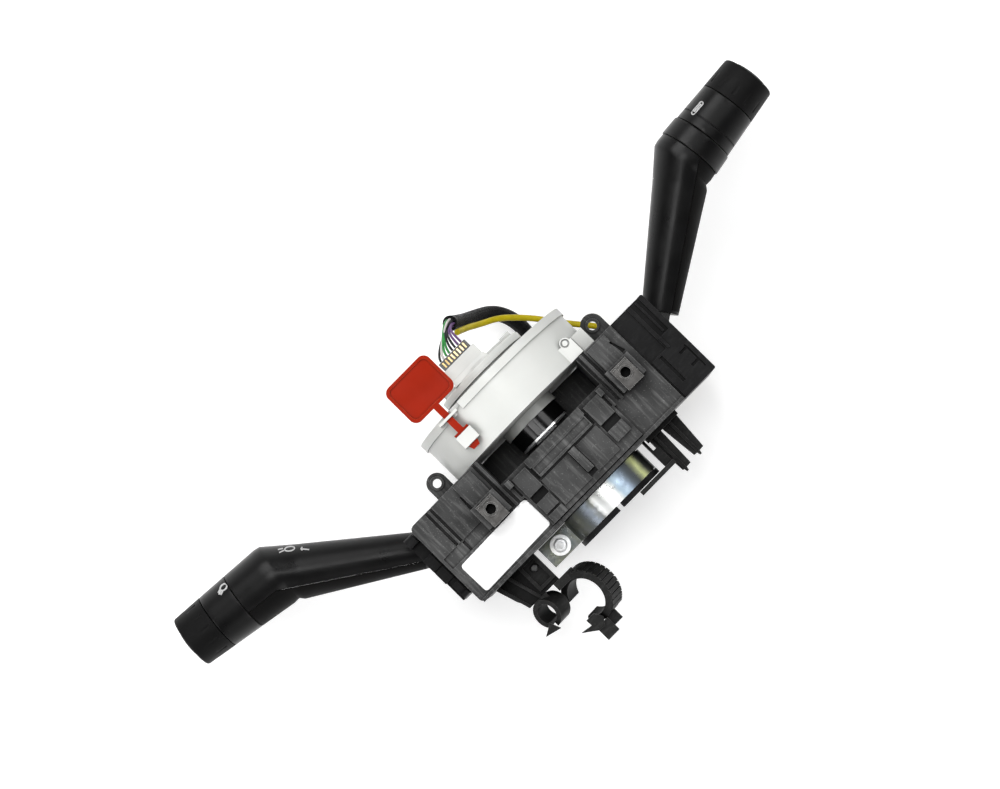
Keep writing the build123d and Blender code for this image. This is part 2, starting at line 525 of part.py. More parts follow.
END_X = (CARRIER_RIGHT + GAP, HOUSING_OUT)
core_right = housing_core(RIGHT_BAY_X[0] + FIT, END_X[1], WALL, RIGHT_STOPS, RIGHT_WINDOW_DEPTH)
with BuildPart() as right_housing:
    # the end module stands out of the bay and carries on the carrier's outline
    with BuildSketch(Plane.XY.offset(BACK_Z)):
        pane(END_X, (CARRIER_BOTTOM, CARRIER_TOP))
        pane((END_X[0] - 1, END_X[1] - WALL), CAVITY_Y, Mode.SUBTRACT)
    extrude(amount=DEPTH)
    block((END_X[0], END_X[1] - WALL / 2), (CARRIER_BOTTOM + 1, CARRIER_TOP - 1), (CAVITY_FRONT, FRONT_Z))
    fillet(right_housing.edges().filter_by(Axis.Z).group_by(Axis.X)[-1], 1.0)
    block(
        (END_X[0] - 1, END_X[1] + 1),
        (WINDOW_Y, CARRIER_TOP + 1),
        (-WINDOW_HALF_Z, WINDOW_HALF_Z),
        Mode.SUBTRACT,
    )
    # the stiffening wall behind the window, at the driver's side
    block(
        (END_X[0], END_X[1] - RIGHT_WINDOW_DEPTH),
        (CAVITY_Y[1], CARRIER_TOP),
        (-WINDOW_HALF_Z - 1, WINDOW_HALF_Z + 1),
    )
    add(core_right)
    rod_along_y(PIVOT_X, 0, SHAFT_R + RUN, (YOKE_TOP, CAVITY_Y[1] + 2), Mode.SUBTRACT)
    # recessed upper face, ribs, slot and two notches, all placed from the outer face
    block((END_X[0] - 1, END_X[0] + 0.9), (0, CARRIER_TOP + 1), (FRONT_Z - 1.5, FRONT_Z + 1), Mode.SUBTRACT)
    block((END_X[0] - 1, END_X[1] - 10.4), (31.0, CARRIER_TOP + 1), (FRONT_Z - 1.4, FRONT_Z + 1), Mode.SUBTRACT)
    block((END_X[1] - 8.4, END_X[1] - 2.6), (36.8, CARRIER_TOP + 1), (FRONT_Z - GROOVE, FRONT_Z + 1), Mode.SUBTRACT)
    block((END_X[1] - 9.6, END_X[1] - 8.4), (30.4, 36.8), (FRONT_Z - 1, FRONT_Z + 1.2))
    block((END_X[1] - 5.6, END_X[1] - 4.6), (38.0, CARRIER_TOP - 1), (FRONT_Z - GROOVE - 1, FRONT_Z - 0.3))
    block((END_X[1] - 16.2, END_X[1] - 14.3), (13.6, 30.0), (FRONT_Z - GROOVE, FRONT_Z + 1), Mode.SUBTRACT)
    for notch_y in (16.2, 24.4):
        block(
            (END_X[1] - 7.6, END_X[1] - 3.4),
            (notch_y - 0.8, notch_y + 0.8),
            (FRONT_Z - GROOVE, FRONT_Z + 1),
            Mode.SUBTRACT,
        )
    block((END_X[1] - 3.4, END_X[1] - 2.4), (11.5, 26.0), (FRONT_Z - GROOVE, FRONT_Z + 1), Mode.SUBTRACT)

# ---- housing lids with the rails that hold the contact boards ----
BOARD_Z = (LID_Z[1] + 3.0, LID_Z[1] + 3.0 + BOARD_THICKNESS)
BOARD_X = (PIVOT_X - 20, PIVOT_X + 8)
BOARD_Y = (CAVITY_Y[0] + 3, CAVITY_Y[1] - 3)


def lid(inner_x, outer_x, y_span):
    """The plate that closes a housing from behind, with four pegs under the contact board."""
    with BuildPart() as plate:
        block((inner_x, outer_x), y_span, LID_Z)
        for peg_x in (BOARD_X[0] + 3, BOARD_X[1] - 3):
            for peg_y in (BOARD_Y[0] + 3, BOARD_Y[1] - 3):
                rod_along_z(peg_x, peg_y, 1.6, (LID_Z[0], BOARD_Z[0]))
    return plate.part


lid_left = lid(-LEFT_BAY_X[1] + FIT, -LEFT_BAY_X[0] - FIT, (INNER_BOTTOM + FIT, INNER_TOP - FIT))
lid_right = lid(RIGHT_BAY_X[0] + FIT, END_X[1] - WALL - FIT, (CAVITY_Y[0] + FIT, CAVITY_Y[1] - FIT))
with BuildPart() as left_housing_lid:
    mirror(lid_left, about=Plane.YZ)
with BuildPart() as right_housing_lid:
    add(lid_right)

with BuildPart() as right_contact_board:
    block(BOARD_X, BOARD_Y, BOARD_Z)
    with Locations((PIVOT_X, PIVOT_Y, BOARD_Z[1])):
        Cylinder(3.0, 4 * BOARD_THICKNESS, mode=Mode.SUBTRACT)
with BuildPart() as left_contact_board:
    mirror(right_contact_board.part, about=Plane.YZ)

# ---- left bezel: the guard round the lever's root, open at the driver's side ----
BEZEL_X = (-87.2, CARRIER_LEFT)
BEZEL_Y = (15.5, 56.6)
BEZEL_Z = (-20.0, 27.0)
BEZEL_FLANGE = 5.4
with BuildPart() as left_bezel:
    with BuildSketch(Plane.YZ.offset(BEZEL_X[0])):
        pane(BEZEL_Y, BEZEL_Z)
        fillet(vertices(), 4.0)
        pane((WINDOW_Y + 1, BEZEL_Y[1] + 1), (-WINDOW_HALF_Z, WINDOW_HALF_Z), Mode.SUBTRACT)
    extrude(amount=BEZEL_FLANGE)
    with BuildSketch(Plane.YZ.offset(BEZEL_X[0] + BEZEL_FLANGE)):
        pane((BEZEL_Y[0] + 3, BEZEL_Y[1] - 3), (BEZEL_Z[0] + 3, BEZEL_Z[1] - 3))
        pane((WINDOW_Y, BEZEL_Y[1] + 1), (-WINDOW_HALF_Z, WINDOW_HALF_Z), Mode.SUBTRACT)
    extrude(amount=BEZEL_X[1] - BEZEL_X[0] - BEZEL_FLANGE)
    # front cheek: a deep notch, a shallow line and the narrower lower half
    block((BEZEL_X[0] - 1, BEZEL_X[1] + 1), (42.8, 51.2), (BEZEL_Z[1] - 6.5, BEZEL_Z[1] + 1), Mode.SUBTRACT)
    block((BEZEL_X[0] - 1, BEZEL_X[1] + 1), (34.2, 35.2), (BEZEL_Z[1] - 1.6, BEZEL_Z[1] + 1), Mode.SUBTRACT)
    block((BEZEL_X[0] - 1, BEZEL_X[0] + 1.6), (BEZEL_Y[0] - 1, 27.0), (BEZEL_Z[1] - 9, BEZEL_Z[1] + 1), Mode.SUBTRACT)
    block((BEZEL_X[0] + 1.6, BEZEL_X[1] + 1), (24.2, 27.0), (BEZEL_Z[1] - 2.4, BEZEL_Z[1] + 1), Mode.SUBTRACT)

# ---- yokes: they turn in the housings about a line along the column and carry the lever's pins ----
YOKE_HALF = YOKE_INSIDE + YOKE_PLATE
with BuildPart() as right_yoke:
    block((PIVOT_X - YOKE_IN, PIVOT_X + YOKE_OUT), (YOKE_BOTTOM, YOKE_TOP), (-YOKE_HALF, YOKE_HALF))
    rod_along_z(PIVOT_X, PIVOT_Y, HUB_R - 0.6, (-YOKE_HALF, YOKE_HALF))
    with BuildSketch(Plane.XY.offset(-YOKE_INSIDE)):
        pane(
            (PIVOT_X - YOKE_IN - 1, PIVOT_X + 2 * YOKE_IN),
            (YOKE_BOTTOM + YOKE_PLATE, YOKE_TOP - YOKE_PLATE),
        )
    extrude(amount=2 * YOKE_INSIDE, mode=Mode.SUBTRACT)
    rod_along_z(PIVOT_X, PIVOT_Y, LEVER_PIN_R + RUN, (-YOKE_HALF, YOKE_HALF), Mode.SUBTRACT)
    rod_along_y(PIVOT_X, 0, SHAFT_R, (CAVITY_Y[0] + GAP, YOKE_BOTTOM))
    rod_along_y(PIVOT_X, 0, SHAFT_R, (YOKE_TOP, CAVITY_Y[1] + 0.8))
    # the bridge that the cancelling finger works against
    block(
        (PIVOT_X - YOKE_IN - 3, PIVOT_X - YOKE_IN),
        (YOKE_TOP - YOKE_PLATE, YOKE_TOP),
        (-YOKE_INSIDE / 2, YOKE_INSIDE / 2),
    )
with BuildPart() as left_yoke:
    mirror(right_yoke.part, about=Plane.YZ)

# ---- levers ----
HEAD_R_BEND = 16.8
HEAD_R_TIP = 14.1
ELBOW = 1.6                       # half length of the facet round the bend
ELBOW_R = 16.3
ARM_ROOT_S = 76.0                 # from the bend back to the root section
ARM_ROOT = (9.4, 7.8)             # half width and half depth at the root
ARM_DROP = 0.9                    # the root's middle below the line to the pivot
ARM_NEAR_S = 12.0                 # a second section near the bend
ARM_NEAR = (13.9, 14.6)
ARM_NEAR_DROP = 0.6
SPINDLE_R = 6.5
SPINDLE_END = 48.3
STEM_R = 2.5
SEAM_ROOT = 4.0                   # seam above the lever's lower edge, at the root
SEAM_BEND = 8.0
SEAM_GAP = 0.25


def lever_solid(head_end):
    """The whole lever on the +X side, from its pivot hub to head_end, with the spindle for the rings."""
    with BuildPart() as lever:
        # shell: an oval at the root, straight to the bend, then the tapering head
        with BuildSketch(arm_plane(ARM_ROOT_S, ARM_DROP)):
            Ellipse(*ARM_ROOT)
        with BuildSketch(arm_plane(ARM_NEAR_S, ARM_NEAR_DROP)):
            Ellipse(*ARM_NEAR)
        with BuildSketch(head_plane(-ELBOW)):
            Circle(ELBOW_R)
        loft(ruled=True)
        with BuildSketch(head_plane(-ELBOW)):
            Circle(ELBOW_R)
        with BuildSketch(head_plane(ELBOW)):
            Circle(head_radius(ELBOW))
        loft(ruled=True)
        with BuildSketch(head_plane(ELBOW)):
            Circle(head_radius(ELBOW))
        with BuildSketch(head_plane(head_end)):
            Circle(head_radius(head_end))
        loft(ruled=True)
        # spindle, bored for the end button's stem
        with BuildSketch(head_plane(head_end - 1)):
            Circle(SPINDLE_R)
        extrude(amount=SPINDLE_END - head_end + 1)
        with BuildSketch(head_plane(SPINDLE_END - STEM_LENGTH)):
            Circle(STEM_R + RUN)
        extrude(amount=STEM_LENGTH, mode=Mode.SUBTRACT)
        # shank, hub and plunger tail inside the housing
        with BuildSketch(Plane(origin=PIVOT, x_dir=(-ARM.Y, ARM.X, 0), z_dir=ARM)):
            Rectangle(2 * SHANK_HALF, 2 * SHANK_HALF)
        extrude(amount=(BEND - PIVOT).length - ARM_ROOT_S + 2)
        rod_along_z(PIVOT_X, PIVOT_Y, HUB_R, (-YOKE_INSIDE + GAP, YOKE_INSIDE - GAP))
        rod_along_z(PIVOT_X, PIVOT_Y, LEVER_PIN_R, (-YOKE_HALF - GAP, YOKE_HALF + GAP))
        block((PIVOT_X - PLUNGER_REACH + 4.5, PIVOT_X), (PIVOT_Y - 4.8, PIVOT_Y + 4.8), (-4.8, 4.8))
        with BuildSketch(Plane.YZ.offset(PIVOT_X - PLUNGER_REACH)):
            with Locations((PIVOT_Y, 0)):
                Circle(PLUNGER_R + RUN)
        extrude(amount=PLUNGER_REACH - 3, mode=Mode.SUBTRACT)
    return lever.part


STEM_LENGTH = 12.0
SEAM_START = BEND - ARM * ARM_ROOT_S + Vector(ARM.Y, -ARM.X, 0) * (ARM_ROOT[0] + ARM_DROP - SEAM_ROOT)
SEAM_END = BEND + Vector(ARM.Y, -ARM.X, 0) * (HEAD_R_BEND - SEAM_BEND - 1.0)
SEAM_DIR = (SEAM_END - SEAM_START).normalized()


def seam_cut(head_end, gap):
    """A flat slab below the seam, which runs beside the arm and then beside the head."""
    with BuildPart() as slab:
        with BuildSketch(Plane.XY.offset(-40)):
            down = Vector(SEAM_DIR.Y, -SEAM_DIR.X, 0)
            first = SEAM_START + down * gap
            second = SEAM_END + down * gap
            third = second + HEAD * (head_end + 6)
            low = Vector(0, -60, 0)
            with BuildLine():
                Polyline(
                    (first.X, first.Y), (second.X, second.Y), (third.X, third.Y),
                    (third.X, third.Y + low.Y), (first.X, first.Y + low.Y), close=True,
                )
            make_face()
        extrude(amount=80)
    return slab.part


def root_keep(head_end):
    """The part of the lever that stays whole: shank and hub, and the spindle past the head's end."""
    with BuildPart() as keep:
        with BuildSketch(Plane(origin=PIVOT, x_dir=(-ARM.Y, ARM.X, 0), z_dir=ARM)):
            Rectangle(70, 60)
        extrude(amount=(BEND - PIVOT).length - ARM_ROOT_S + 1.5)
        with BuildSketch(head_plane(head_end)):
            Circle(SPINDLE_R)
        extrude(amount=SPINDLE_END)
    return keep.part


LEFT_HEAD_END = 21.1
RIGHT_HEAD_END = 5.5
lever_pieces = {}
for lever_side, head_end in (("left", LEFT_HEAD_END), ("right", RIGHT_HEAD_END)):
    whole = lever_solid(head_end)
    below = seam_cut(head_end, 0) - root_keep(head_end)
    strip = seam_cut(head_end, SEAM_GAP) - root_keep(head_end)
    lever_pieces[lever_side] = (whole - below, whole & strip)

with BuildPart() as right_lever:
    add(lever_pieces["right"][0])
with BuildPart() as right_lever_strip:
    add(lever_pieces["right"][1])
with BuildPart() as left_lever:
    mirror(lever_pieces["left"][0], about=Plane.YZ)
with BuildPart() as left_lever_strip:
    mirror(lever_pieces["left"][1], about=Plane.YZ)


def head_ring(start, end, swell=0.0):
    """A ring on the lever's spindle, from start to end along the head, as a part on the +X side."""
    with BuildPart() as ring:
        with BuildSketch(head_plane(start + GAP)):
            Circle(head_radius(start) + swell)
        with BuildSketch(head_plane(end)):
            Circle(head_radius(end) + swell)
        loft(ruled=True)
        rims = ring.edges().filter_by(GeomType.CIRCLE).sort_by(SortBy.RADIUS)[-2:]
        fillet(rims, 0.5)
        with BuildSketch(head_plane(start)):
            Circle(SPINDLE_R + RUN)
        extrude(amount=end - start + 1, mode=Mode.SUBTRACT)
    return ring.part


def end_knob(start, button_r):
    """The turning knob at the lever's tip, with the recess for the end button."""
    with BuildPart() as knob:
        with BuildSketch(head_plane(start + GAP)):
            Circle(head_radius(start))
        with BuildSketch(head_plane(TIP_S)):
            Circle(head_radius(TIP_S))
        loft(ruled=True)
        rims = knob.edges().filter_by(GeomType.CIRCLE).sort_by(SortBy.RADIUS)
        fillet(rims[0], 1.4)
        with BuildSketch(head_plane(start)):
            Circle(SPINDLE_R + RUN)
        extrude(amount=SPINDLE_END - start + GAP, mode=Mode.SUBTRACT)
        with BuildSketch(head_plane(SPINDLE_END + GAP)):
            Circle(button_r + GAP)
        extrude(amount=TIP_S, mode=Mode.SUBTRACT)
        # finger grip: shallow flutes round the knob
        with BuildSketch(head_plane(start + 3)):
            with PolarLocations(head_radius(start) + 1.0, KNOB_FLUTES):
                Circle(1.5)
        extrude(amount=TIP_S - start - 6, mode=Mode.SUBTRACT)
    return knob.part


def end_button(button_r, proud, dome):
    """The push button in the knob's end, with its stem in the spindle."""
    with BuildPart() as button:
        with BuildSketch(head_plane(SPINDLE_END + GAP + BUTTON_TRAVEL + GAP)):
            Circle(button_r)
        extrude(amount=TIP_S + proud - (SPINDLE_END + 2 * GAP + BUTTON_TRAVEL))
        face_edges = button.edges().filter_by(GeomType.CIRCLE)
        outer = face_edges.sort_by(Axis.X)[-1]
        fillet(outer, dome)
        with BuildSketch(head_plane(SPINDLE_END - STEM_LENGTH + BUTTON_TRAVEL + GAP)):
            Circle(STEM_R)
        extrude(amount=STEM_LENGTH + 1)
    return button.part


KNOB_FLUTES = 12
BUTTON_TRAVEL = 1.5
LEFT_RING_END = 37.7
LEFT_BUTTON_R = 8.0
RIGHT_COLLAR_END = 16.0
RIGHT_BAND_END = 21.6
RIGHT_RING_END = 37.2
RIGHT_BUTTON_R = 10.6

with BuildPart() as left_fog_ring:
    mirror(head_ring(LEFT_HEAD_END, LEFT_RING_END), about=Plane.YZ)
with BuildPart() as left_light_knob:
    mirror(end_knob(LEFT_RING_END, LEFT_BUTTON_R), about=Plane.YZ)
with BuildPart() as left_button:
    mirror(end_button(LEFT_BUTTON_R, 1.2, 1.0), about=Plane.YZ)
with BuildPart() as right_head_collar:
    add(head_ring(RIGHT_HEAD_END, RIGHT_COLLAR_END, 0.6))
with BuildPart() as right_delay_ring:
    add(head_ring(RIGHT_COLLAR_END, RIGHT_RING_END))
    with BuildSketch(head_plane(RIGHT_BAND_END)):
        Circle(head_radius(RIGHT_BAND_END) + 1)
        Circle(head_radius(RIGHT_BAND_END) - 0.5, mode=Mode.SUBTRACT)
    extrude(amount=0.6, mode=Mode.SUBTRACT)
with BuildPart() as right_end_knob:
    add(end_knob(RIGHT_RING_END, RIGHT_BUTTON_R))
with BuildPart() as right_button:
    add(end_button(RIGHT_BUTTON_R, 1.2, 2.2))

# ---- detent plungers and their springs, in the lever's tail ----
PLUNGER_BACK = 8.0                # plunger's rear end from the pivot
with BuildPart() as right_plunger:
    with BuildSketch(Plane.XY):
        with BuildLine():
            tip_x = PIVOT_X - PLUNGER_REACH
            Line((tip_x, PIVOT_Y), (PIVOT_X - PLUNGER_BACK, PIVOT_Y))
            Line((PIVOT_X - PLUNGER_BACK, PIVOT_Y), (PIVOT_X - PLUNGER_BACK, PIVOT_Y + PLUNGER_R))
            Line((PIVOT_X - PLUNGER_BACK, PIVOT_Y + PLUNGER_R), (tip_x + PLUNGER_R, PIVOT_Y + PLUNGER_R))
            CenterArc((tip_x + PLUNGER_R, PIVOT_Y), PLUNGER_R, 90, 90)
        make_face()
    revolve(axis=Axis((0, PIVOT_Y, 0), (1, 0, 0)))
with BuildPart() as left_plunger:
    mirror(right_plunger.part, about=Plane.YZ)

SPRING_TURNS = 4
SPRING_WIRE_R = 0.4
SPRING_X = (PIVOT_X - PLUNGER_BACK, PIVOT_X - 3)
SPRING_PITCH = (SPRING_X[1] - SPRING_X[0] - 2 * SPRING_WIRE_R) / SPRING_TURNS
with BuildPart() as right_detent_spring:
    with BuildLine() as coil:
        Helix(
            pitch=SPRING_PITCH,
            height=SPRING_PITCH * SPRING_TURNS,
            radius=1.8,
            center=(SPRING_X[0] + SPRING_WIRE_R, PIVOT_Y, 0),
            direction=(1, 0, 0),
        )
    with BuildSketch(Plane(origin=coil.line @ 0, z_dir=coil.line % 0)):
        Circle(SPRING_WIRE_R)
    sweep(is_frenet=True)
with BuildPart() as left_detent_spring:
    mirror(right_detent_spring.part, about=Plane.YZ)

# ---- clock spring: case, cover, rotor and the flat cable between them ----
KEY_BACK = sqrt(CASE_R**2 - (KEY_X + KEY_BAR / 2) ** 2) + KEY_ROOM
KEY_Z = (KEY_BACK, KEY_BACK + KEY_THICKNESS)
SOCKET_X = (KEY_X - 4.8, KEY_X + 4.8)
SOCKET_HOLE = (KEY_FOOT / 2 + 0.4, GAP)       # side and face clearances round the key's foot
LOOP_HALF = KEY_BAR / 2 + 0.6
LOOP_WALL = 0.9
LOOP_Y = (81.6, 83.0)
RIM_FLAT_Z = KEY_Z[0] - 0.4
LUG_TOP = 67.8
LUG_FRONT = 34.5
POST = (37.4, 2.8)                 # place across and radius of the ringed post
with BuildPart() as clock_spring_case:
    rod_along_y(0, 0, CASE_R, (CASE_BOTTOM, RIM_TOP - RIM_PLATE))
    # two lugs at the right of the case, and the ringed post on the nearer one
    block((29.3, 41.2), (CASE_BOTTOM, LUG_TOP), (20.0, LUG_FRONT))
    block((41.8, 48.7), (CASE_BOTTOM, LUG_TOP + 0.5), (8.0, LUG_FRONT - 8))
    rod_along_z(POST[0], LUG_TOP, POST[1], (24.0, LUG_FRONT))
    rod_along_z(POST[0], LUG_TOP, POST[1] - 0.6, (LUG_FRONT - 1.6, LUG_FRONT + 1), Mode.SUBTRACT)
    rod_along_z(POST[0], LUG_TOP, POST[1] - 1.4, (LUG_FRONT - 2, LUG_FRONT - 0.2))
    # the key's socket
    block(SOCKET_X, SOCKET_Y, (32.0, KEY_Z[1] + GAP + LOOP_WALL))
    # two pads on the carrier's driver side
    for pad_x in ((-46.0, -35.0), (36.5, 46.0)):
        block(pad_x, (CARRIER_TOP, CASE_BOTTOM + 1), (-12.0, 12.0))
    with BuildSketch(Plane.XY):
        pane((0, CASE_R - CASE_WALL), (CASE_BOTTOM + CASE_FLOOR, RIM_TOP))
    revolve(axis=Axis.Y, mode=Mode.SUBTRACT)
    tube_along_y(HUB_OUTER_R + 2.4, HUB_OUTER_R, (CASE_BOTTOM, BEARING_TOP))
    rod_along_y(0, 0, HUB_OUTER_R + RUN, (CARRIER_BOTTOM, RIM_TOP), Mode.SUBTRACT)
    block(
        (KEY_X - SOCKET_HOLE[0], KEY_X + SOCKET_HOLE[0]),
        (SOCKET_Y[0] - 1, SOCKET_Y[1] + 1),
        (KEY_Z[0] - SOCKET_HOLE[1], KEY_Z[1] + SOCKET_HOLE[1]),
        Mode.SUBTRACT,
    )

with BuildPart() as clock_spring_cover:
    rod_along_y(0, 0, RIM_R, (RIM_BOTTOM, RIM_TOP))
    # a flat where the key lies, and the loop that guides it
    block(
        (KEY_X - LOOP_HALF - LOOP_WALL, -20.0),
        (RIM_BOTTOM - 1, RIM_TOP + 1),
        (RIM_FLAT_Z, RIM_R),
        Mode.SUBTRACT,
    )
    block(
        (KEY_X - LOOP_HALF - LOOP_WALL, KEY_X + LOOP_HALF + LOOP_WALL),
        LOOP_Y,
        (30.0, KEY_Z[1] + GAP + LOOP_WALL),
    )
    block(
        (KEY_X - LOOP_HALF, KEY_X + LOOP_HALF),
        (LOOP_Y[0] - 1, LOOP_Y[1] + 1),
        (RIM_FLAT_Z, KEY_Z[1] + GAP),
        Mode.SUBTRACT,
    )
    # skirt over the case wall, and the hole for the rotor's neck
    rod_along_y(0, 0, CASE_R, (RIM_BOTTOM, RIM_TOP - RIM_PLATE), Mode.SUBTRACT)
    rod_along_y(0, 0, DRUM_R + NECK_ROOM, (RIM_BOTTOM, RIM_TOP), Mode.SUBTRACT)
    # the raised ring round the hole
    tube_along_y(DISC_R + 6, DISC_R + 4, (RIM_TOP, RIM_TOP + 0.8))

with BuildPart() as rotor:
    with BuildSketch(Plane.XY):
        pane((SHAFT_BORE_R, HUB_OUTER_R), (HUB_BOTTOM, DISC_TOP))
        pane((SHAFT_BORE_R, DRUM_R), (BEARING_TOP + GAP, DISC_TOP))
        pane((SHAFT_BORE_R, DISC_R), (DISC_BOTTOM, DISC_TOP))
        pane((SHAFT_BORE_R, DISC_R - 3.5), (DISC_TOP - 1, DISC_TOP + 1.4))
    revolve(axis=Axis.Y)
    fillet(rotor.edges().filter_by(GeomType.CIRCLE).sort_by(SortBy.RADIUS)[-1], 0.8)
    # connector block, wider at its foot
    with BuildSketch(Plane.XZ.offset(-DISC_TOP)):
        pane((BLOCK_X[0] - 1.5, BLOCK_X[1] + 1.5), (BLOCK_Z[0], BLOCK_Z[1] + 1.2))
    extrude(amount=-3.2, taper=20)
    block(BLOCK_X, (DISC_TOP, BLOCK_TOP), BLOCK_Z)
    block(
        (PLUG_X[0] + 2, PLUG_X[1] - 2),
        (BLOCK_TOP - 6, BLOCK_TOP + 1),
        (PLUG_Z[0] + 1, PLUG_Z[1] - 1),
        Mode.SUBTRACT,
    )
    # two driving tongues for the steering wheel
    for tongue_x in (-20.0, 20.0):
        block((tongue_x - 3, tongue_x + 3), (DISC_TOP, DISC_TOP + 3.0), (-4.0, 4.0))

with BuildPart() as rotor_plug:
    block(PLUG_X, (BLOCK_TOP, PLUG_TOP), PLUG_Z)
    with Locations(((PLUG_X[0] + PLUG_X[1]) / 2, BLOCK_TOP + 2.6, PLUG_Z[1])):
        with GridLocations(2.0, 1, 8, 1):
            Box(1.1, 3.2, 1.0, mode=Mode.SUBTRACT)
    block(
        (PLUG_X[0] + 2.3, PLUG_X[1] - 2.3),
        (BLOCK_TOP - 5, BLOCK_TOP),
        (PLUG_Z[0] + 1.2, PLUG_Z[1] - 1.2),
    )

with BuildPart() as plug_contacts:
    with Locations(((PLUG_X[0] + PLUG_X[1]) / 2, BLOCK_TOP + 2.6, PLUG_Z[1] - 0.25)):
        with GridLocations(2.0, 1, 8, 1):
            Box(0.9, 3.0, 0.5)

with BuildPart() as plug_wires:
    # one bundle from just above the plug to the open end of the black sleeve
    sleeve_in = Vector(*BLACK_ROUTE[1]) - Vector(*BLACK_ROUTE[0])
    wire_points = [(-4.3, PLUG_TOP + GAP, 16.2), (-4.0, 110.6, 15.0), (1.8, 116.4, 7.4), BLACK_ROUTE[0]]
    with BuildLine() as wire_line:
        FilletPolyline(*wire_points, radius=1.9)
    with BuildSketch(Plane(origin=wire_line.line @ 0, z_dir=wire_line.line % 0)):
        Circle(1.8)
    sweep()
    split(bisect_by=Plane(origin=(0, PLUG_TOP + GAP, 0), z_dir=(0, 1, 0)), keep=Keep.TOP)
    split(bisect_by=Plane(origin=BLACK_ROUTE[0], z_dir=sleeve_in), keep=Keep.BOTTOM)

with BuildPart() as cancel_cam:
    with BuildSketch(Plane.XZ.offset(-CAM_BOTTOM)):
        Circle(CAM_R)
        for side in (-1, 1):
            with Locations((NOSE_X, side * CAM_R)):
                Rectangle(NOSE_WIDTH, 2 * (CAM_NOSE_R - CAM_R))
        Circle(SHAFT_BORE_R + CAM_ROOM, mode=Mode.SUBTRACT)
    extrude(amount=-(HUB_BOTTOM - CAM_BOTTOM))

with BuildPart() as cam_clip:
    tube_along_y(CAM_R - 0.8, SHAFT_BORE_R + CAM_ROOM, (CAM_BOTTOM - 1.0, CAM_BOTTOM))
    # the two flats that a tool pulls on
    for side in (-1, 1):
        near, far = sorted((side * (CAM_R - 2.0), side * (CAM_NOSE_R + 1.4)))
        block((-6.8, 6.8), (CAM_BOTTOM - 1.6, CAM_BOTTOM - 0.4), (near, far))

RIBBON_TURNS = 3
RIBBON_R = (26.0, 40.0)
with BuildPart() as ribbon_cable:
    # rings of flat cable between drum and case wall, joined by one bridge
    for turn in range(RIBBON_TURNS):
        turn_r = RIBBON_R[0] + turn * (RIBBON_R[1] - RIBBON_R[0]) / (RIBBON_TURNS - 1)
        tube_along_y(turn_r + 0.6, turn_r, (CASE_BOTTOM + CASE_FLOOR + 0.2, RIM_TOP - RIM_PLATE - 1.5))
    block((RIBBON_R[0], CASE_R - CASE_WALL - GAP), (CASE_BOTTOM + CASE_FLOOR + 0.2, RIM_TOP - RIM_PLATE - 1.5), (-0.5, 0.5))

# ---- transport key ----
with BuildPart() as transport_key:
    with BuildSketch(Plane.XY.offset(KEY_Z[0])):
        pane(KEY_TAB_X, KEY_TAB_Y)
        fillet(vertices(), 4.0)
        pane((KEY_X - KEY_STEM / 2, KEY_X + KEY_STEM / 2), (SOCKET_Y[0] - 2, KEY_TAB_Y[0] + 1))
        pane((KEY_X - KEY_BAR / 2, KEY_X + KEY_BAR / 2), (SOCKET_Y[1] + GAP, SOCKET_Y[1] + GAP + 1.2))
        with BuildLine():
            foot_top = SOCKET_Y[0] - GAP
            Polyline(
                (KEY_X - KEY_FOOT / 2, foot_top), (KEY_X + KEY_FOOT / 2, foot_top),
                (KEY_X + KEY_FOOT / 3, foot_top - 2.6), (KEY_X - KEY_FOOT / 3, foot_top - 2.6), close=True,
            )
        make_face()
    extrude(amount=KEY_THICKNESS)
    with BuildSketch(Plane.XY.offset(KEY_Z[1] - 0.6)):
        pane((KEY_TAB_X[0] + 1.6, KEY_TAB_X[1] - 1.6), (KEY_TAB_Y[0] + 1.6, KEY_TAB_Y[1] - 1.6))
        fillet(vertices(), 3.0)
    extrude(amount=1, mode=Mode.SUBTRACT)

# ---- electronics box behind the column, with its board and the harness socket ----
BOX_TOP_Z = BACK_Z
with BuildPart() as back_cover:
    block(BOX_X, BOX_Y, (FLOOR_Z, BOX_TOP_Z))
    fillet(back_cover.edges().filter_by(Axis.Y), 2.0)
    block(
        (BOX_X[0] + BOX_WALL, BOX_X[1] - BOX_WALL),
        (BOX_Y[0] + BOX_WALL, BOX_Y[1] - BOX_WALL),
        (FLOOR_Z + BOX_WALL, BOX_TOP_Z + 1),
        Mode.SUBTRACT,
    )
    # harness socket, open towards the dashboard
    block((-20.0, 18.0), (BOX_Y[0] - 6, BOX_Y[0] + 14), (-44.0, -30.5))
    block((-18.0, 16.0), (BOX_Y[0] - 7, BOX_Y[0] + 10), (-42.0, -32.5), Mode.SUBTRACT)
    # pegs under the board
    for peg_x in (BOX_X[0] + 6, BOX_X[1] - 6):
        for peg_y in (BOX_Y[0] + 6, BOX_Y[1] - 6):
            rod_along_z(peg_x, peg_y, 2.0, (FLOOR_Z, -46.0 + 4.0))

with BuildPart() as control_board:
    block(
        (BOX_X[0] + BOX_WALL + GAP, BOX_X[1] - BOX_WALL - GAP),
        (BOX_Y[0] + 16, BOX_Y[1] - BOX_WALL - GAP),
        (-42.0, -42.0 + BOARD_THICKNESS),
    )
    block((-16.0, 0.0), (30.0, 42.0), (-42.0, -42.0 + BOARD_THICKNESS + 2.0))

with BuildPart() as socket_pins:
    for pin_row_z in (-39.6, -35.0):
        with Locations((-1.0, BOX_Y[0] + 7.5, pin_row_z)):
            with GridLocations(5.0, 1, 6, 1):
                Box(0.9, 9.0, 0.9)

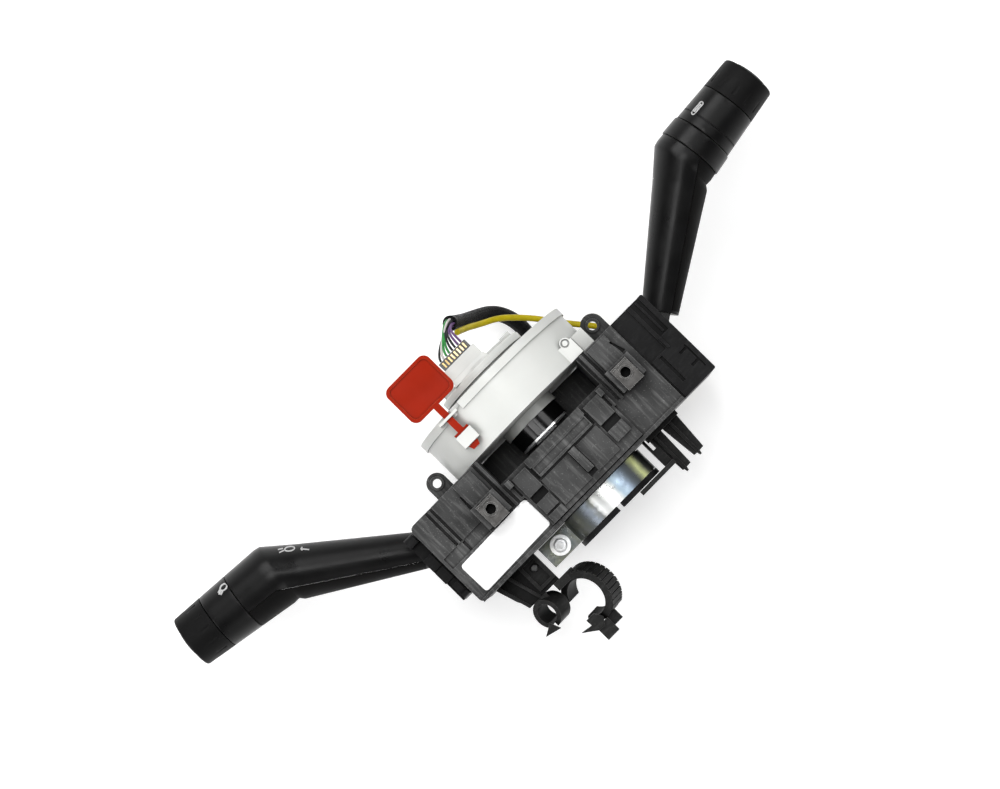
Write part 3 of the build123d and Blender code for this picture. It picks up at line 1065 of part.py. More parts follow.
# ---- harness bracket with two cable clips, on the dashboard side at the left ----
CLIP_Z = (-5.0, 5.0)
BRACKET_FOOT_Y = -10.6
BIG_CLIP = (-40.8, -26.6)
BIG_CLIP_R = (14.2, 10.6)
CLIP_TILT = -40.0                  # how far the clips' bores lean from square
SMALL_CLIP = (-60.4, -18.6)
SMALL_CLIP_R = (8.0, 5.4)
with BuildPart() as harness_bracket:
    with BuildSketch(Plane.XY.offset(-3.0)):
        with BuildLine():
            Polyline(
                (-73.5, CARRIER_BOTTOM), (-47.0, CARRIER_BOTTOM), (-47.0, BRACKET_FOOT_Y),
                (-66.5, BRACKET_FOOT_Y), (-70.0, -4.0), close=True,
            )
        make_face()
    extrude(amount=3.0)
    # the boxed half with its recess, and the two ribs that splay from the carrier
    block((-58.0, -47.0), (-8.4, CARRIER_BOTTOM), (-1.0, 4.0))
    block((-56.2, -49.0), (-6.8, CARRIER_BOTTOM - 1.4), (2.0, 5.0), Mode.SUBTRACT)
    for foot_x, root_x in ((-67.6, -72.6), (-60.6, -65.4)):
        with BuildSketch(Plane.XY.offset(-1.0)):
            with BuildLine():
                Polyline(
                    (root_x, CARRIER_BOTTOM), (root_x + 1.6, CARRIER_BOTTOM), (foot_x + 1.6, BRACKET_FOOT_Y),
                    (foot_x, BRACKET_FOOT_Y), close=True,
                )
            make_face()
        extrude(amount=4.5)

with BuildPart() as bracket_screw:
    rod_along_z(-51.8, 2.0, 1.9, (2.0, 3.4))
    fillet(bracket_screw.faces().sort_by(Axis.Z)[-1].edges(), 0.6)


def c_clip(centre, radii, opening_angles, lips, teeth):
    """A spring clip in the plane across Z: a ring with a mouth, and lead-in lips at the mouth."""
    with BuildPart() as clip:
        with BuildSketch(Plane.XY.offset(CLIP_Z[0])):
            with Locations(centre):
                Circle(radii[0])
                if teeth:
                    with PolarLocations(radii[0], 15, start_angle=-60, angular_range=170):
                        Rectangle(1.6, 2.4)
                Circle(radii[1], mode=Mode.SUBTRACT)
            low, high = opening_angles
            reach = 3 * radii[0]
            with BuildLine():
                Polyline(
                    centre,
                    (centre[0] + reach * cos(radians(low)), centre[1] + reach * sin(radians(low))),
                    (
                        centre[0] + reach * cos(radians((low + high) / 2)),
                        centre[1] + reach * sin(radians((low + high) / 2)),
                    ),
                    (centre[0] + reach * cos(radians(high)), centre[1] + reach * sin(radians(high))),
                    close=True,
                )
            make_face(mode=Mode.SUBTRACT)
            # lips that splay outwards from the mouth
            for angle, lean in lips:
                lip = Vector(cos(radians(angle)), sin(radians(angle)), 0)
                middle = (radii[0] + radii[1]) / 2
                with Locations(
                    Location(
                        (centre[0] + lip.X * (middle + 2.2), centre[1] + lip.Y * (middle + 2.2), 0),
                        (0, 0, angle + lean),
                    )
                ):
                    Rectangle(7.0, 1.8)
        extrude(amount=CLIP_Z[1] - CLIP_Z[0])
    return clip.part.rotate(Axis((centre[0], centre[1], 0), (0, 1, 0)), CLIP_TILT)


with BuildPart() as large_cable_clip:
    add(c_clip(BIG_CLIP, BIG_CLIP_R, (158, 222), (), True))
    block((-51.0, -38.6), (-15.0, BRACKET_FOOT_Y), CLIP_Z)
    # the release lip and the two stops at the mouth's lower side
    with BuildSketch(Plane.XY.offset(-1.0)):
        with BuildLine():
            Polyline(
                (-58.2, -37.4), (-52.0, -38.4), (-52.2, -34.8), (-47.0, -34.9), (-44.6, -39.2),
                (-47.6, -43.2), (-51.4, -42.4), close=True,
            )
        make_face()
    extrude(amount=7.0)
    block((-51.2, -43.6), (-49.4, -41.0), (-1.0, 5.0))
    block((-45.0, -38.2), (-46.4, -38.6), (-4.0, 3.0))
with BuildPart() as small_cable_clip:
    add(c_clip(SMALL_CLIP, SMALL_CLIP_R, (228, 268), (), False))
    block((-64.5, -56.5), (-13.4, BRACKET_FOOT_Y), CLIP_Z)
    with BuildSketch(Plane.XY.offset(0.0)):
        with BuildLine():
            Polyline((-72.0, -26.2), (-68.2, -24.0), (-66.0, -22.2), (-63.6, -28.4), close=True)
        make_face()
    extrude(amount=6.0)

# ---- guide prongs: two tapered, ribbed pegs on a foot, on the dashboard side at the right ----
PRONG_FOOT_X = (32.6, 53.0)
PRONGS = ((33.8, 41.3, 36.6, -18.6, (34.9, 40.4)), (42.2, 52.4, 47.0, -17.4, (44.2, 50.6)))
with BuildPart() as guide_prongs:
    block(PRONG_FOOT_X, (CARRIER_BOTTOM - 2.4, CARRIER_BOTTOM), (-9.0, 9.0))
    for prong_x0, prong_x1, tip_x, tip_y, end_x in PRONGS:
        with BuildSketch(Plane.XY.offset(-1.2)):
            with BuildLine():
                Polyline(
                    (prong_x0, CARRIER_BOTTOM - 1), (prong_x1, CARRIER_BOTTOM - 1), (end_x[1], tip_y + 2),
                    (tip_x + 0.9, tip_y + 1.8), (tip_x + 0.5, tip_y), (tip_x - 0.5, tip_y),
                    (tip_x - 0.9, tip_y + 1.8), (end_x[0], tip_y + 2), close=True,
                )
            make_face()
        extrude(amount=2.4)
        with BuildSketch(Plane.YZ.offset(tip_x - 0.8)):
            with BuildLine():
                Polyline(
                    (CARRIER_BOTTOM - 1, -5.0), (CARRIER_BOTTOM - 1, 5.0), (tip_y + 2, 1.8),
                    (tip_y + 2, -1.8), close=True,
                )
            make_face()
        extrude(amount=1.6)
    # the strap beside the clamp band and its long foot under the collar
    block((30.0, 34.6), (-11.4, CARRIER_BOTTOM), (-4.0, 4.0))
    block((31.4, 33.4), (0.6, CARRIER_BOTTOM + 1), (-5.0, 5.0), Mode.SUBTRACT)
    block((30.0, 34.6), (-11.4, -9.0), (-4.0, 24.4))
    block((11.6, 34.6), (-11.4, -9.0), (20.4, 24.4))

# ---- leads: the black sleeve and the yellow lead, each with its connector ----


def lead(route, radius):
    """A lead's tube along straight runs joined by tangent arcs."""
    points = [Vector(*point) for point in route]
    radii = []
    for before, corner, after in zip(points, points[1:], points[2:]):
        first = corner - before
        second = after - corner
        turn = first.get_angle(second)
        radii.append(0.45 * min(first.length, second.length) / tan(radians(turn / 2)))
    print("arc radii", [round(value, 1) for value in radii])
    with BuildPart() as tube:
        with BuildLine() as line:
            FilletPolyline(*points, radius=radii)
        with BuildSketch(Plane(origin=line.line @ 0, z_dir=line.line % 0)):
            Circle(radius)
        sweep()
    length = line.wires()[0].length
    section = pi * radius**2
    print("lead length", round(length, 1), "volume share", round(tube.part.volume / (section * length), 4))
    return tube.part


with BuildPart() as black_lead:
    add(lead(BLACK_ROUTE, SLEEVE_R))
with BuildPart() as yellow_lead:
    add(lead(YELLOW_ROUTE, YELLOW_R))


CONNECTOR_WALL = 1.2


def lead_connector(route, size, keyway):
    """A connector housing at the end of a lead, square to its last run, hollow at its mouth."""
    end = Vector(*route[-1])
    run = (end - Vector(*route[-2])).normalized()
    face = Plane(origin=end, x_dir=(run.Y, -run.X, 0), z_dir=run)
    width, height, length = size
    with BuildPart() as shell:
        with BuildSketch(face):
            Rectangle(width, height)
        extrude(amount=length)
        fillet(shell.edges().filter_by(lambda edge: abs(edge.tangent_at(0.5).dot(run)) > 0.99), 0.8)
        with BuildSketch(face.offset(length - keyway)):
            Rectangle(width - 2 * CONNECTOR_WALL, height - 2 * CONNECTOR_WALL)
        extrude(amount=keyway, mode=Mode.SUBTRACT)
    return shell.part


with BuildPart() as black_connector:
    add(lead_connector(BLACK_ROUTE, (13.0, 8.1, 18.0), 9.0))
with BuildPart() as yellow_connector:
    add(lead_connector(YELLOW_ROUTE, (9.6, 7.5, 16.0), 8.0))

PIECES = {
    "column_collar": column_collar, "clamp_band": clamp_band, "clamp_bolt": clamp_bolt,
    "clamp_nut": clamp_nut, "carrier": carrier, "front_cover": front_cover, "clip_nuts": clip_nuts,
    "left_housing": left_housing, "right_housing": right_housing,
    "left_housing_lid": left_housing_lid, "right_housing_lid": right_housing_lid,
    "left_contact_board": left_contact_board, "right_contact_board": right_contact_board,
    "left_bezel": left_bezel, "left_yoke": left_yoke, "right_yoke": right_yoke,
    "left_lever": left_lever, "right_lever": right_lever,
    "left_lever_strip": left_lever_strip, "right_lever_strip": right_lever_strip,
    "left_fog_ring": left_fog_ring, "left_light_knob": left_light_knob, "left_button": left_button,
    "right_head_collar": right_head_collar, "right_delay_ring": right_delay_ring,
    "right_end_knob": right_end_knob, "right_button": right_button,
    "left_plunger": left_plunger, "right_plunger": right_plunger,
    "left_detent_spring": left_detent_spring, "right_detent_spring": right_detent_spring,
    "clock_spring_case": clock_spring_case, "clock_spring_cover": clock_spring_cover,
    "rotor": rotor, "rotor_plug": rotor_plug, "plug_contacts": plug_contacts,
    "plug_wires": plug_wires, "cancel_cam": cancel_cam, "cam_clip": cam_clip,
    "ribbon_cable": ribbon_cable, "transport_key": transport_key,
    "back_cover": back_cover, "control_board": control_board, "socket_pins": socket_pins,
    "harness_bracket": harness_bracket, "bracket_screw": bracket_screw,
    "large_cable_clip": large_cable_clip, "small_cable_clip": small_cable_clip,
    "guide_prongs": guide_prongs, "black_lead": black_lead, "yellow_lead": yellow_lead,
    "black_connector": black_connector, "yellow_connector": yellow_connector,
}
for name, piece in PIECES.items():
    piece.part.label = name
    export_step(piece.part, f"parts/{name}.step")
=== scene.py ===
"""Looks, light and camera of a combination stalk switch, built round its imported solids.

The row frame has +X along the right stalk, +Y up the column towards the driver and +Z towards the
shroud screws. Lengths are in metres, except where a class says that its own are in millimetres.
"""

import logging
import math
from dataclasses import dataclass
from enum import Enum

import bpy
import numpy as np
from mathutils import Matrix, Vector
from mathutils.bvhtree import BVHTree

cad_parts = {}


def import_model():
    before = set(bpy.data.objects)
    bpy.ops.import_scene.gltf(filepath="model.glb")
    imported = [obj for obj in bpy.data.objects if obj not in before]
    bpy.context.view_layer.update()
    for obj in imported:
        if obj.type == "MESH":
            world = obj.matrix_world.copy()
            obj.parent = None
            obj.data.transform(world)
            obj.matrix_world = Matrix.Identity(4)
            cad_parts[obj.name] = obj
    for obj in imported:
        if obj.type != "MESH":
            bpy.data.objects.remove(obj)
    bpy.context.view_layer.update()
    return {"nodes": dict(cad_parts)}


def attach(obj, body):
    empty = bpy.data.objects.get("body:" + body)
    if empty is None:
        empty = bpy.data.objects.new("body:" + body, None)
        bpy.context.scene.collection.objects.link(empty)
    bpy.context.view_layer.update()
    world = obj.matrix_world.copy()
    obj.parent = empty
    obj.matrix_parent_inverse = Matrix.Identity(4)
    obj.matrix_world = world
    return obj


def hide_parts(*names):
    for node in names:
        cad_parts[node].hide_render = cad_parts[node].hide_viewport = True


Point = tuple[float, float, float]
Colour = tuple[float, float, float]
Pair = tuple[float, float]
Line = list[Pair]
Socket = bpy.types.NodeSocket

LOG = logging.getLogger("stalk_switch")
MM = 0.001
EVEN: Point = (1.0, 1.0, 1.0)
WHITE = (1.0, 1.0, 1.0, 1.0)
EYE: Point = (-0.015, -0.005, 1.302)    # where the camera stands
END_SHARE = 0.02                        # how small the last ring of a closed end is drawn in
ARC_SAMPLES = 25
TINY = 1e-9


class Body(str, Enum):
    """Rigid bodies that new pieces ride on."""

    UNIT = "column_unit"
    LEFT_LEVER = "left_lever"
    RIGHT_LEVER = "right_lever"
    FOG_RING = "left_fog_ring"
    DELAY_RING = "right_delay_ring"


class Pattern(Enum):
    """What the covering of a cable is made like."""

    BRAID = "braid"
    SMOOTH = "smooth"


class NodeGraph:
    """A node tree, with short calls for the nodes that the finishes, floor and surround share."""

    MIDDLE = (0.3, 0.7)         # where most of a noise's values lie
    NOISE_ROUGHNESS = 0.55
    MIX_SOCKETS = (0, 6, 7)     # share, first colour and second colour
    MIX_RESULT = 2

    def __init__(self, tree: bpy.types.NodeTree, output: str) -> None:
        """Empties the tree and gives it an output.

        Args:
            tree: the node tree.
            output: the type name of its output node.
        """
        self.tree = tree
        self.tree.nodes.clear()
        self.output = self.add(output)

    def add(self, kind: str, inputs: dict | None = None, **settings: object) -> bpy.types.Node:
        """Adds a node.

        Args:
            kind: the node's type name.
            inputs: input socket name or index to a value or another node's output.
            **settings: properties of the node itself.

        Returns:
            The new node.
        """
        node = self.tree.nodes.new(kind)
        for key, value in settings.items():
            setattr(node, key, value)
        for key, value in (inputs or {}).items():
            if isinstance(value, Socket):
                self.tree.links.new(value, node.inputs[key])
            else:
                node.inputs[key].default_value = value
        return node

    def close(self, shader: bpy.types.Node) -> None:
        """Links the last shader to the tree's output."""
        self.tree.links.new(shader.outputs[0], self.output.inputs["Surface"])

    def position(self, stretch: Point = EVEN) -> Socket:
        """The Object coordinates in metres, stretched along each axis."""
        coords = self.add("ShaderNodeTexCoord").outputs["Object"]
        return self.add("ShaderNodeMapping", {"Vector": coords, "Scale": stretch}).outputs["Vector"]

    def noise(self, scale: float, detail: float = 2.0, stretch: Point = EVEN) -> Socket:
        """Smooth noise.

        Args:
            scale: about how many features lie in each metre.
            detail: how many finer layers it has.
            stretch: how dense the features are along each axis.

        Returns:
            The noise, 0 to 1.
        """
        return self.add("ShaderNodeTexNoise", {
            "Vector": self.position(stretch), "Scale": scale, "Detail": detail,
            "Roughness": self.NOISE_ROUGHNESS,
        }).outputs["Fac"]

    def ramp(self, value: Socket, stops: list[tuple[float, Colour]]) -> Socket:
        """A colour ramp.

        Args:
            value: what is looked up, 0 to 1.
            stops: positions and linear colours, in rising order.

        Returns:
            The ramp's colour.
        """
        node = self.add("ShaderNodeValToRGB", {"Fac": value})
        elements = node.color_ramp.elements
        while len(elements) < len(stops):
            elements.new(0.5)
        for element, (place, colour) in zip(elements, stops):
            element.position = place
            element.color = (*colour, 1.0)
        return node.outputs["Color"]

    def spread(self, value: Socket, low: float, high: float, to_low: float | Socket = 0.0,
               to_high: float | Socket = 1.0) -> Socket:
        """Maps one range to another and holds the result inside it.

        Args:
            value: what is mapped.
            low: the value that becomes to_low.
            high: the value that becomes to_high.
            to_low: the result at low and beyond it.
            to_high: the result at high and beyond it.

        Returns:
            The mapped value.
        """
        return self.add("ShaderNodeMapRange", {
            "Value": value, "From Min": low, "From Max": high, "To Min": to_low, "To Max": to_high,
        }, clamp=True).outputs["Result"]

    def vary(self, value: Socket, middle: float, down: float, up: float) -> Socket:
        """Maps a noise to middle - down .. middle + up."""
        return self.spread(value, *self.MIDDLE, middle - down, middle + up)

    def blend(self, share: Socket | float, first: Socket | Colour, second: Socket | Colour) -> Socket:
        """Mixes two colours.

        Args:
            share: how much of the second there is.
            first: a linear colour, or a link to one.
            second: a linear colour, or a link to one.

        Returns:
            The mixed colour.
        """
        node = self.add("ShaderNodeMix", data_type="RGBA")
        for index, value in zip(self.MIX_SOCKETS, (share, first, second)):
            if isinstance(value, Socket):
                self.tree.links.new(value, node.inputs[index])
            else:
                node.inputs[index].default_value = (*value, 1.0) if isinstance(value, tuple) else value
        return node.outputs[self.MIX_RESULT]

    def calc(self, operation: str, first: Socket | float, second: Socket | float = 0.0) -> Socket:
        """One arithmetic step on two numbers or links."""
        return self.add("ShaderNodeMath", {0: first, 1: second}, operation=operation).outputs[0]

    def seen(self) -> Socket:
        """Tells what is seen from what is only lit.

        Returns:
            1 where a ray comes from the camera, from a reflection or through glass, and else 0.
        """
        path = self.add("ShaderNodeLightPath").outputs
        shown = self.calc("MAXIMUM", path["Is Camera Ray"], path["Is Glossy Ray"])
        return self.calc("MAXIMUM", shown, path["Is Transmission Ray"])


class FinishGraph(NodeGraph):
    """The node tree of a new material."""

    OPEN_FACE = 0.995       # cosine between the softened and the flat normal, off edges
    FULL_EDGE = 0.86        # the same cosine where the mask is full
    EDGE_SAMPLES = 4

    def __init__(self, name: str) -> None:
        """Starts an empty material.

        Args:
            name: the material's name.
        """
        self.material = bpy.data.materials.new(name)
        self.material.use_nodes = True
        super().__init__(self.material.node_tree, "ShaderNodeOutputMaterial")

    def edge(self, radius: float) -> tuple[Socket, Socket]:
        """Softened edges.

        Args:
            radius: how far the softening reaches from an edge.

        Returns:
            The softened normal, and a mask that is 1 on edges and 0 on open faces.
        """
        soft = self.add("ShaderNodeBevel", {"Radius": radius}, samples=self.EDGE_SAMPLES).outputs["Normal"]
        flat = self.add("ShaderNodeNewGeometry").outputs["Normal"]
        same = self.add("ShaderNodeVectorMath", {0: soft, 1: flat}, operation="DOT_PRODUCT")
        return soft, self.spread(same.outputs["Value"], self.OPEN_FACE, self.FULL_EDGE)

    def bump(self, height: Socket, depth: float, normal: Socket | None = None) -> Socket:
        """Relief on top of a normal.

        Args:
            height: the relief, 0 to 1.
            depth: its full depth.
            normal: what it is laid on, or None for the mesh's own.

        Returns:
            The normal with the relief.
        """
        inputs = {"Height": height, "Distance": depth, "Strength": 1.0}
        if normal is not None:
            inputs["Normal"] = normal
        return self.add("ShaderNodeBump", inputs).outputs["Normal"]

    def finish(self, inputs: dict) -> bpy.types.Material:
        """Closes the graph with the surface shader.

        Args:
            inputs: values and links of the surface shader's sockets.

        Returns:
            The material.
        """
        self.close(self.add("ShaderNodeBsdfPrincipled", inputs))
        return self.material


@dataclass(frozen=True)
class Moulded:
    """Injection moulded plastic: eroded grain, flow mottling, dust, worn edges with a painted highlight and
    painted shade in recesses.
    """

    name: str
    colour: Colour
    roughness: float
    # colour of dust, of edge wear and of the painted edge highlight
    dust_wear_and_highlight: Colour
    grain: float = 900.0
    depth: float = 0.00003
    mottle: float = 0.12
    # share of that colour on edges, as wear and as a painted highlight
    edge_wear_and_highlight_share: float = 0.35
    dust: float = 0.0
    edge_radius: float = 0.00035
    specular: float = 0.5
    # how strong the painted shade in corners and slots is, and how far it looks for cover
    painted_shade: float = 0.0
    painted_shade_reach: float = 0.010
    edge_rough: float = 0.0
    streak: Point = (1.0, 3.0, 1.0)
    subsurface: float = 0.0

    MOTTLE_SCALE = 45.0
    SPECK_SCALE = 1300.0
    SPECK_SPAN = (0.66, 0.74)
    SMEAR_SCALE = 160.0
    SMEAR_SPAN = (0.50, 0.74)
    # patches along the edges where the wear and the painted highlight lie
    EDGE_PATCH_SCALE = 380.0
    EDGE_PATCH_SPAN = (0.35, 0.65)
    EDGE_PATCH_LEAST = 0.2
    SHEEN_SCALE = 70.0
    SHEEN_SWING = (0.06, 0.07)
    # painted shade: corners and slots are painted darker where they see little open sky, down to a small
    # share of the colour
    PAINTED_SHADE_SPAN = (0.30, 0.95)      # open sky, from deep in a corner to a free face
    PAINTED_SHADE_TONE = 0.04
    SCATTER_DEPTH = 0.001
    SCATTER_RADIUS = (1.0, 0.9, 0.8)

    def mottled(self, g: FinishGraph) -> Socket:
        """The bare colour, darker and lighter in soft clouds."""
        low, high = (tuple(c * (1 + swing) for c in self.colour) for swing in (-self.mottle, self.mottle))
        return g.ramp(g.noise(self.MOTTLE_SCALE, detail=3.0), list(zip(g.MIDDLE, (low, high))))

    def dusted(self, g: FinishGraph, colour: Socket) -> Socket:
        """Lays specks and smears of dust on the colour.

        Args:
            g: the finish's graph.
            colour: what the dust lies on.

        Returns:
            The dusty colour.
        """
        specks = g.spread(g.noise(self.SPECK_SCALE, detail=1.0), *self.SPECK_SPAN)
        smears = g.spread(g.noise(self.SMEAR_SCALE, detail=6.0, stretch=self.streak), *self.SMEAR_SPAN)
        return g.blend(g.calc("MULTIPLY", g.calc("ADD", specks, smears), self.dust), colour, self.dust_wear_and_highlight)

    def with_edge_wear_and_highlight(self, g: FinishGraph, colour: Socket, edges: Socket) -> Socket:
        """Lightens the edges in patches, partly as wear and partly as a painted highlight.

        Args:
            g: the finish's graph.
            colour: the colour off the edges.
            edges: 1 on edges and 0 on open faces.

        Returns:
            The colour with worn edges and a painted edge highlight.
        """
        patches = g.spread(g.noise(self.EDGE_PATCH_SCALE, detail=4.0), *self.EDGE_PATCH_SPAN, self.EDGE_PATCH_LEAST, 1.0)
        share = g.calc("MULTIPLY", g.calc("MULTIPLY", edges, patches), self.edge_wear_and_highlight_share)
        return g.blend(share, colour, self.dust_wear_and_highlight)

    def with_painted_shade(self, g: FinishGraph, colour: Socket) -> Socket:
        """Paints shade into corners and slots, darker where less open sky is seen.

        Args:
            g: the finish's graph.
            colour: the colour on open faces.

        Returns:
            The colour with painted shade, near black deep in a corner.
        """
        sky = g.add("ShaderNodeAmbientOcclusion", {"Distance": self.painted_shade_reach}).outputs["AO"]
        share = g.spread(sky, *self.PAINTED_SHADE_SPAN, self.painted_shade, 0.0)
        return g.blend(share, colour, tuple(self.PAINTED_SHADE_TONE * c for c in self.colour))

    def build(self) -> bpy.types.Material:
        """Makes the finish.

        Returns:
            The material.
        """
        g = FinishGraph(self.name)
        normal, edges = g.edge(self.edge_radius)
        colour = self.mottled(g)
        if self.dust:
            colour = self.dusted(g, colour)
        # edges lighter in patches: partly wear, partly a painted highlight
        colour = self.with_edge_wear_and_highlight(g, colour, edges)
        # painted shade in corners and slots
        if self.painted_shade:
            colour = self.with_painted_shade(g, colour)
        rough = g.vary(g.noise(self.SHEEN_SCALE, detail=4.0), self.roughness, *self.SHEEN_SWING)
        if self.edge_rough:
            rough = g.calc("ADD", rough, g.calc("MULTIPLY", edges, self.edge_rough))
        if self.depth:
            normal = g.bump(g.noise(self.grain, detail=3.0), self.depth, normal)
        return g.finish({
            "Base Color": colour, "Roughness": rough, "Normal": normal,
            "Specular IOR Level": self.specular, "Subsurface Weight": self.subsurface,
            "Subsurface Scale": self.SCATTER_DEPTH, "Subsurface Radius": self.SCATTER_RADIUS,
        })


@dataclass(frozen=True)
class Plated:
    """Plated steel: drawn lines, a passivation tint that drifts and bright worn edges.

    Painted reflections of the surroundings are bands of colour that follow each other along X, from minus the
    reflection reach to plus it.
    """

    name: str
    colour: Colour
    tint: Colour
    second_tint: Colour
    roughness: float = 0.30
    stretch: Point = (1.0, 14.0, 1.0)
    metallic: float = 1.0
    painted_reflections: tuple[tuple[float, Colour], ...] = ()
    painted_reflection_reach: float = 0.027

    DRIFT_SCALE = 85.0
    DRIFT_STOPS = (0.30, 0.48, 0.60, 0.74)
    PAINTED_REFLECTION_SHARE = 0.85
    WOBBLE_SCALE = 160.0
    WOBBLE_STRETCH = (0.1, 1.0, 1.0)
    WOBBLE = 0.0007
    EDGE_RADIUS = 0.0003
    EDGE_SHARE = 0.4
    EDGE_COLOUR = (0.85, 0.85, 0.84)
    LINE_SCALE = 420.0
    LINE_DEPTH = 0.00002
    SHEEN_SCALE = 240.0
    SHEEN_SWING = (0.07, 0.12)

    def with_painted_reflections(self, g: FinishGraph, colour: Socket) -> Socket:
        """Lays the painted reflections over the colour as bands, with a slight wobble.

        Args:
            g: the finish's graph.
            colour: the bare colour.

        Returns:
            The striped colour.
        """
        across = g.add("ShaderNodeSeparateXYZ", {0: g.position()}).outputs[0]
        waves = g.noise(self.WOBBLE_SCALE, stretch=self.WOBBLE_STRETCH)
        wobble = g.vary(waves, 0.0, self.WOBBLE, self.WOBBLE)
        place = g.spread(g.calc("ADD", across, wobble), -self.painted_reflection_reach, self.painted_reflection_reach)
        return g.blend(self.PAINTED_REFLECTION_SHARE, colour, g.ramp(place, list(self.painted_reflections)))

    def build(self) -> bpy.types.Material:
        """Makes the finish.

        Returns:
            The material.
        """
        g = FinishGraph(self.name)
        soft, edges = g.edge(self.EDGE_RADIUS)
        tints = (self.colour, self.tint, self.colour, self.second_tint)
        colour = g.ramp(g.noise(self.DRIFT_SCALE, detail=3.0), list(zip(self.DRIFT_STOPS, tints)))
        # painted reflections of the surroundings, as bands along X
        if self.painted_reflections:
            colour = self.with_painted_reflections(g, colour)
        colour = g.blend(g.calc("MULTIPLY", edges, self.EDGE_SHARE), colour, self.EDGE_COLOUR)
        rough = g.vary(g.noise(self.SHEEN_SCALE, detail=5.0), self.roughness, *self.SHEEN_SWING)
        lines = g.noise(self.LINE_SCALE, detail=3.0, stretch=self.stretch)
        return g.finish({
            "Base Color": colour, "Metallic": self.metallic, "Roughness": rough,
            "Normal": g.bump(lines, self.LINE_DEPTH, soft),
        })


@dataclass(frozen=True)
class Sheathed:
    """Cable covering: a weave on the UV of a tube, U round it and V along it, or a smooth skin."""

    name: str
    colour: Colour
    second: Colour
    pattern: Pattern = Pattern.SMOOTH
    roughness: float = 0.4
    turns: float = 14.0
    pitch: float = 420.0
    specular: float = 0.25

    CLOUD_SCALE = 220.0
    CLOUD_SPAN = (0.35, 0.7)
    WEAVE_DEPTH = 0.00012
    SKIN_SCALE = 1500.0
    SKIN_DEPTH = 0.00002
    SHEEN_SWING = (0.08, 0.1)

    def weave(self, g: FinishGraph) -> Socket:
        """The higher of two sine waves that wind round the tube in opposite ways.

        Args:
            g: the finish's graph.

        Returns:
            The weave's height, from below 0 to 1.
        """
        uv = g.add("ShaderNodeSeparateXYZ", {0: g.add("ShaderNodeTexCoord").outputs["UV"]}).outputs
        around = g.calc("MULTIPLY", uv[0], self.turns * 2 * math.pi)
        along = g.calc("MULTIPLY", uv[1], self.pitch * 2 * math.pi)
        waves = [g.calc("SINE", g.calc(way, around, along)) for way in ("ADD", "SUBTRACT")]
        return g.calc("MAXIMUM", *waves)

    def build(self) -> bpy.types.Material:
        """Makes the finish.

        Returns:
            The material.
        """
        g = FinishGraph(self.name)
        cloud = g.noise(self.CLOUD_SCALE, detail=4.0)
        if self.pattern is Pattern.BRAID:
            weave = self.weave(g)
            share = g.spread(weave, 0.0, 1.0)
            normal = g.bump(weave, self.WEAVE_DEPTH)
        else:
            share = g.spread(cloud, *self.CLOUD_SPAN)
            normal = g.bump(g.noise(self.SKIN_SCALE), self.SKIN_DEPTH)
        return g.finish({
            "Base Color": g.blend(share, self.colour, self.second),
            "Roughness": g.vary(cloud, self.roughness, *self.SHEEN_SWING), "Normal": normal,
            "Specular IOR Level": self.specular,
        })


@dataclass(frozen=True)
class Board:
    """Circuit board: solder mask over fine copper tracks."""

    name: str
    colour: Colour = (0.02, 0.11, 0.05)
    track_scale: float = 260.0
    track_gap: float = 0.03
    track_height: float = 0.00003
    lighter: float = 1.8
    roughness: float = 0.3

    def build(self) -> bpy.types.Material:
        """Makes the finish.

        Returns:
            The material.
        """
        g = FinishGraph(self.name)
        bricks = g.add("ShaderNodeTexBrick", {
            "Vector": g.position(), "Scale": self.track_scale, "Color1": WHITE,
            "Color2": (0.6, 0.6, 0.6, 1.0), "Mortar": (0.0, 0.0, 0.0, 1.0), "Mortar Size": self.track_gap,
        }).outputs["Color"]
        tracks = g.spread(bricks, 0.0, 1.0)
        colour = g.blend(tracks, tuple(c * self.lighter for c in self.colour), self.colour)
        return g.finish({
            "Base Color": colour, "Roughness": self.roughness, "Normal": g.bump(tracks, self.track_height),
        })


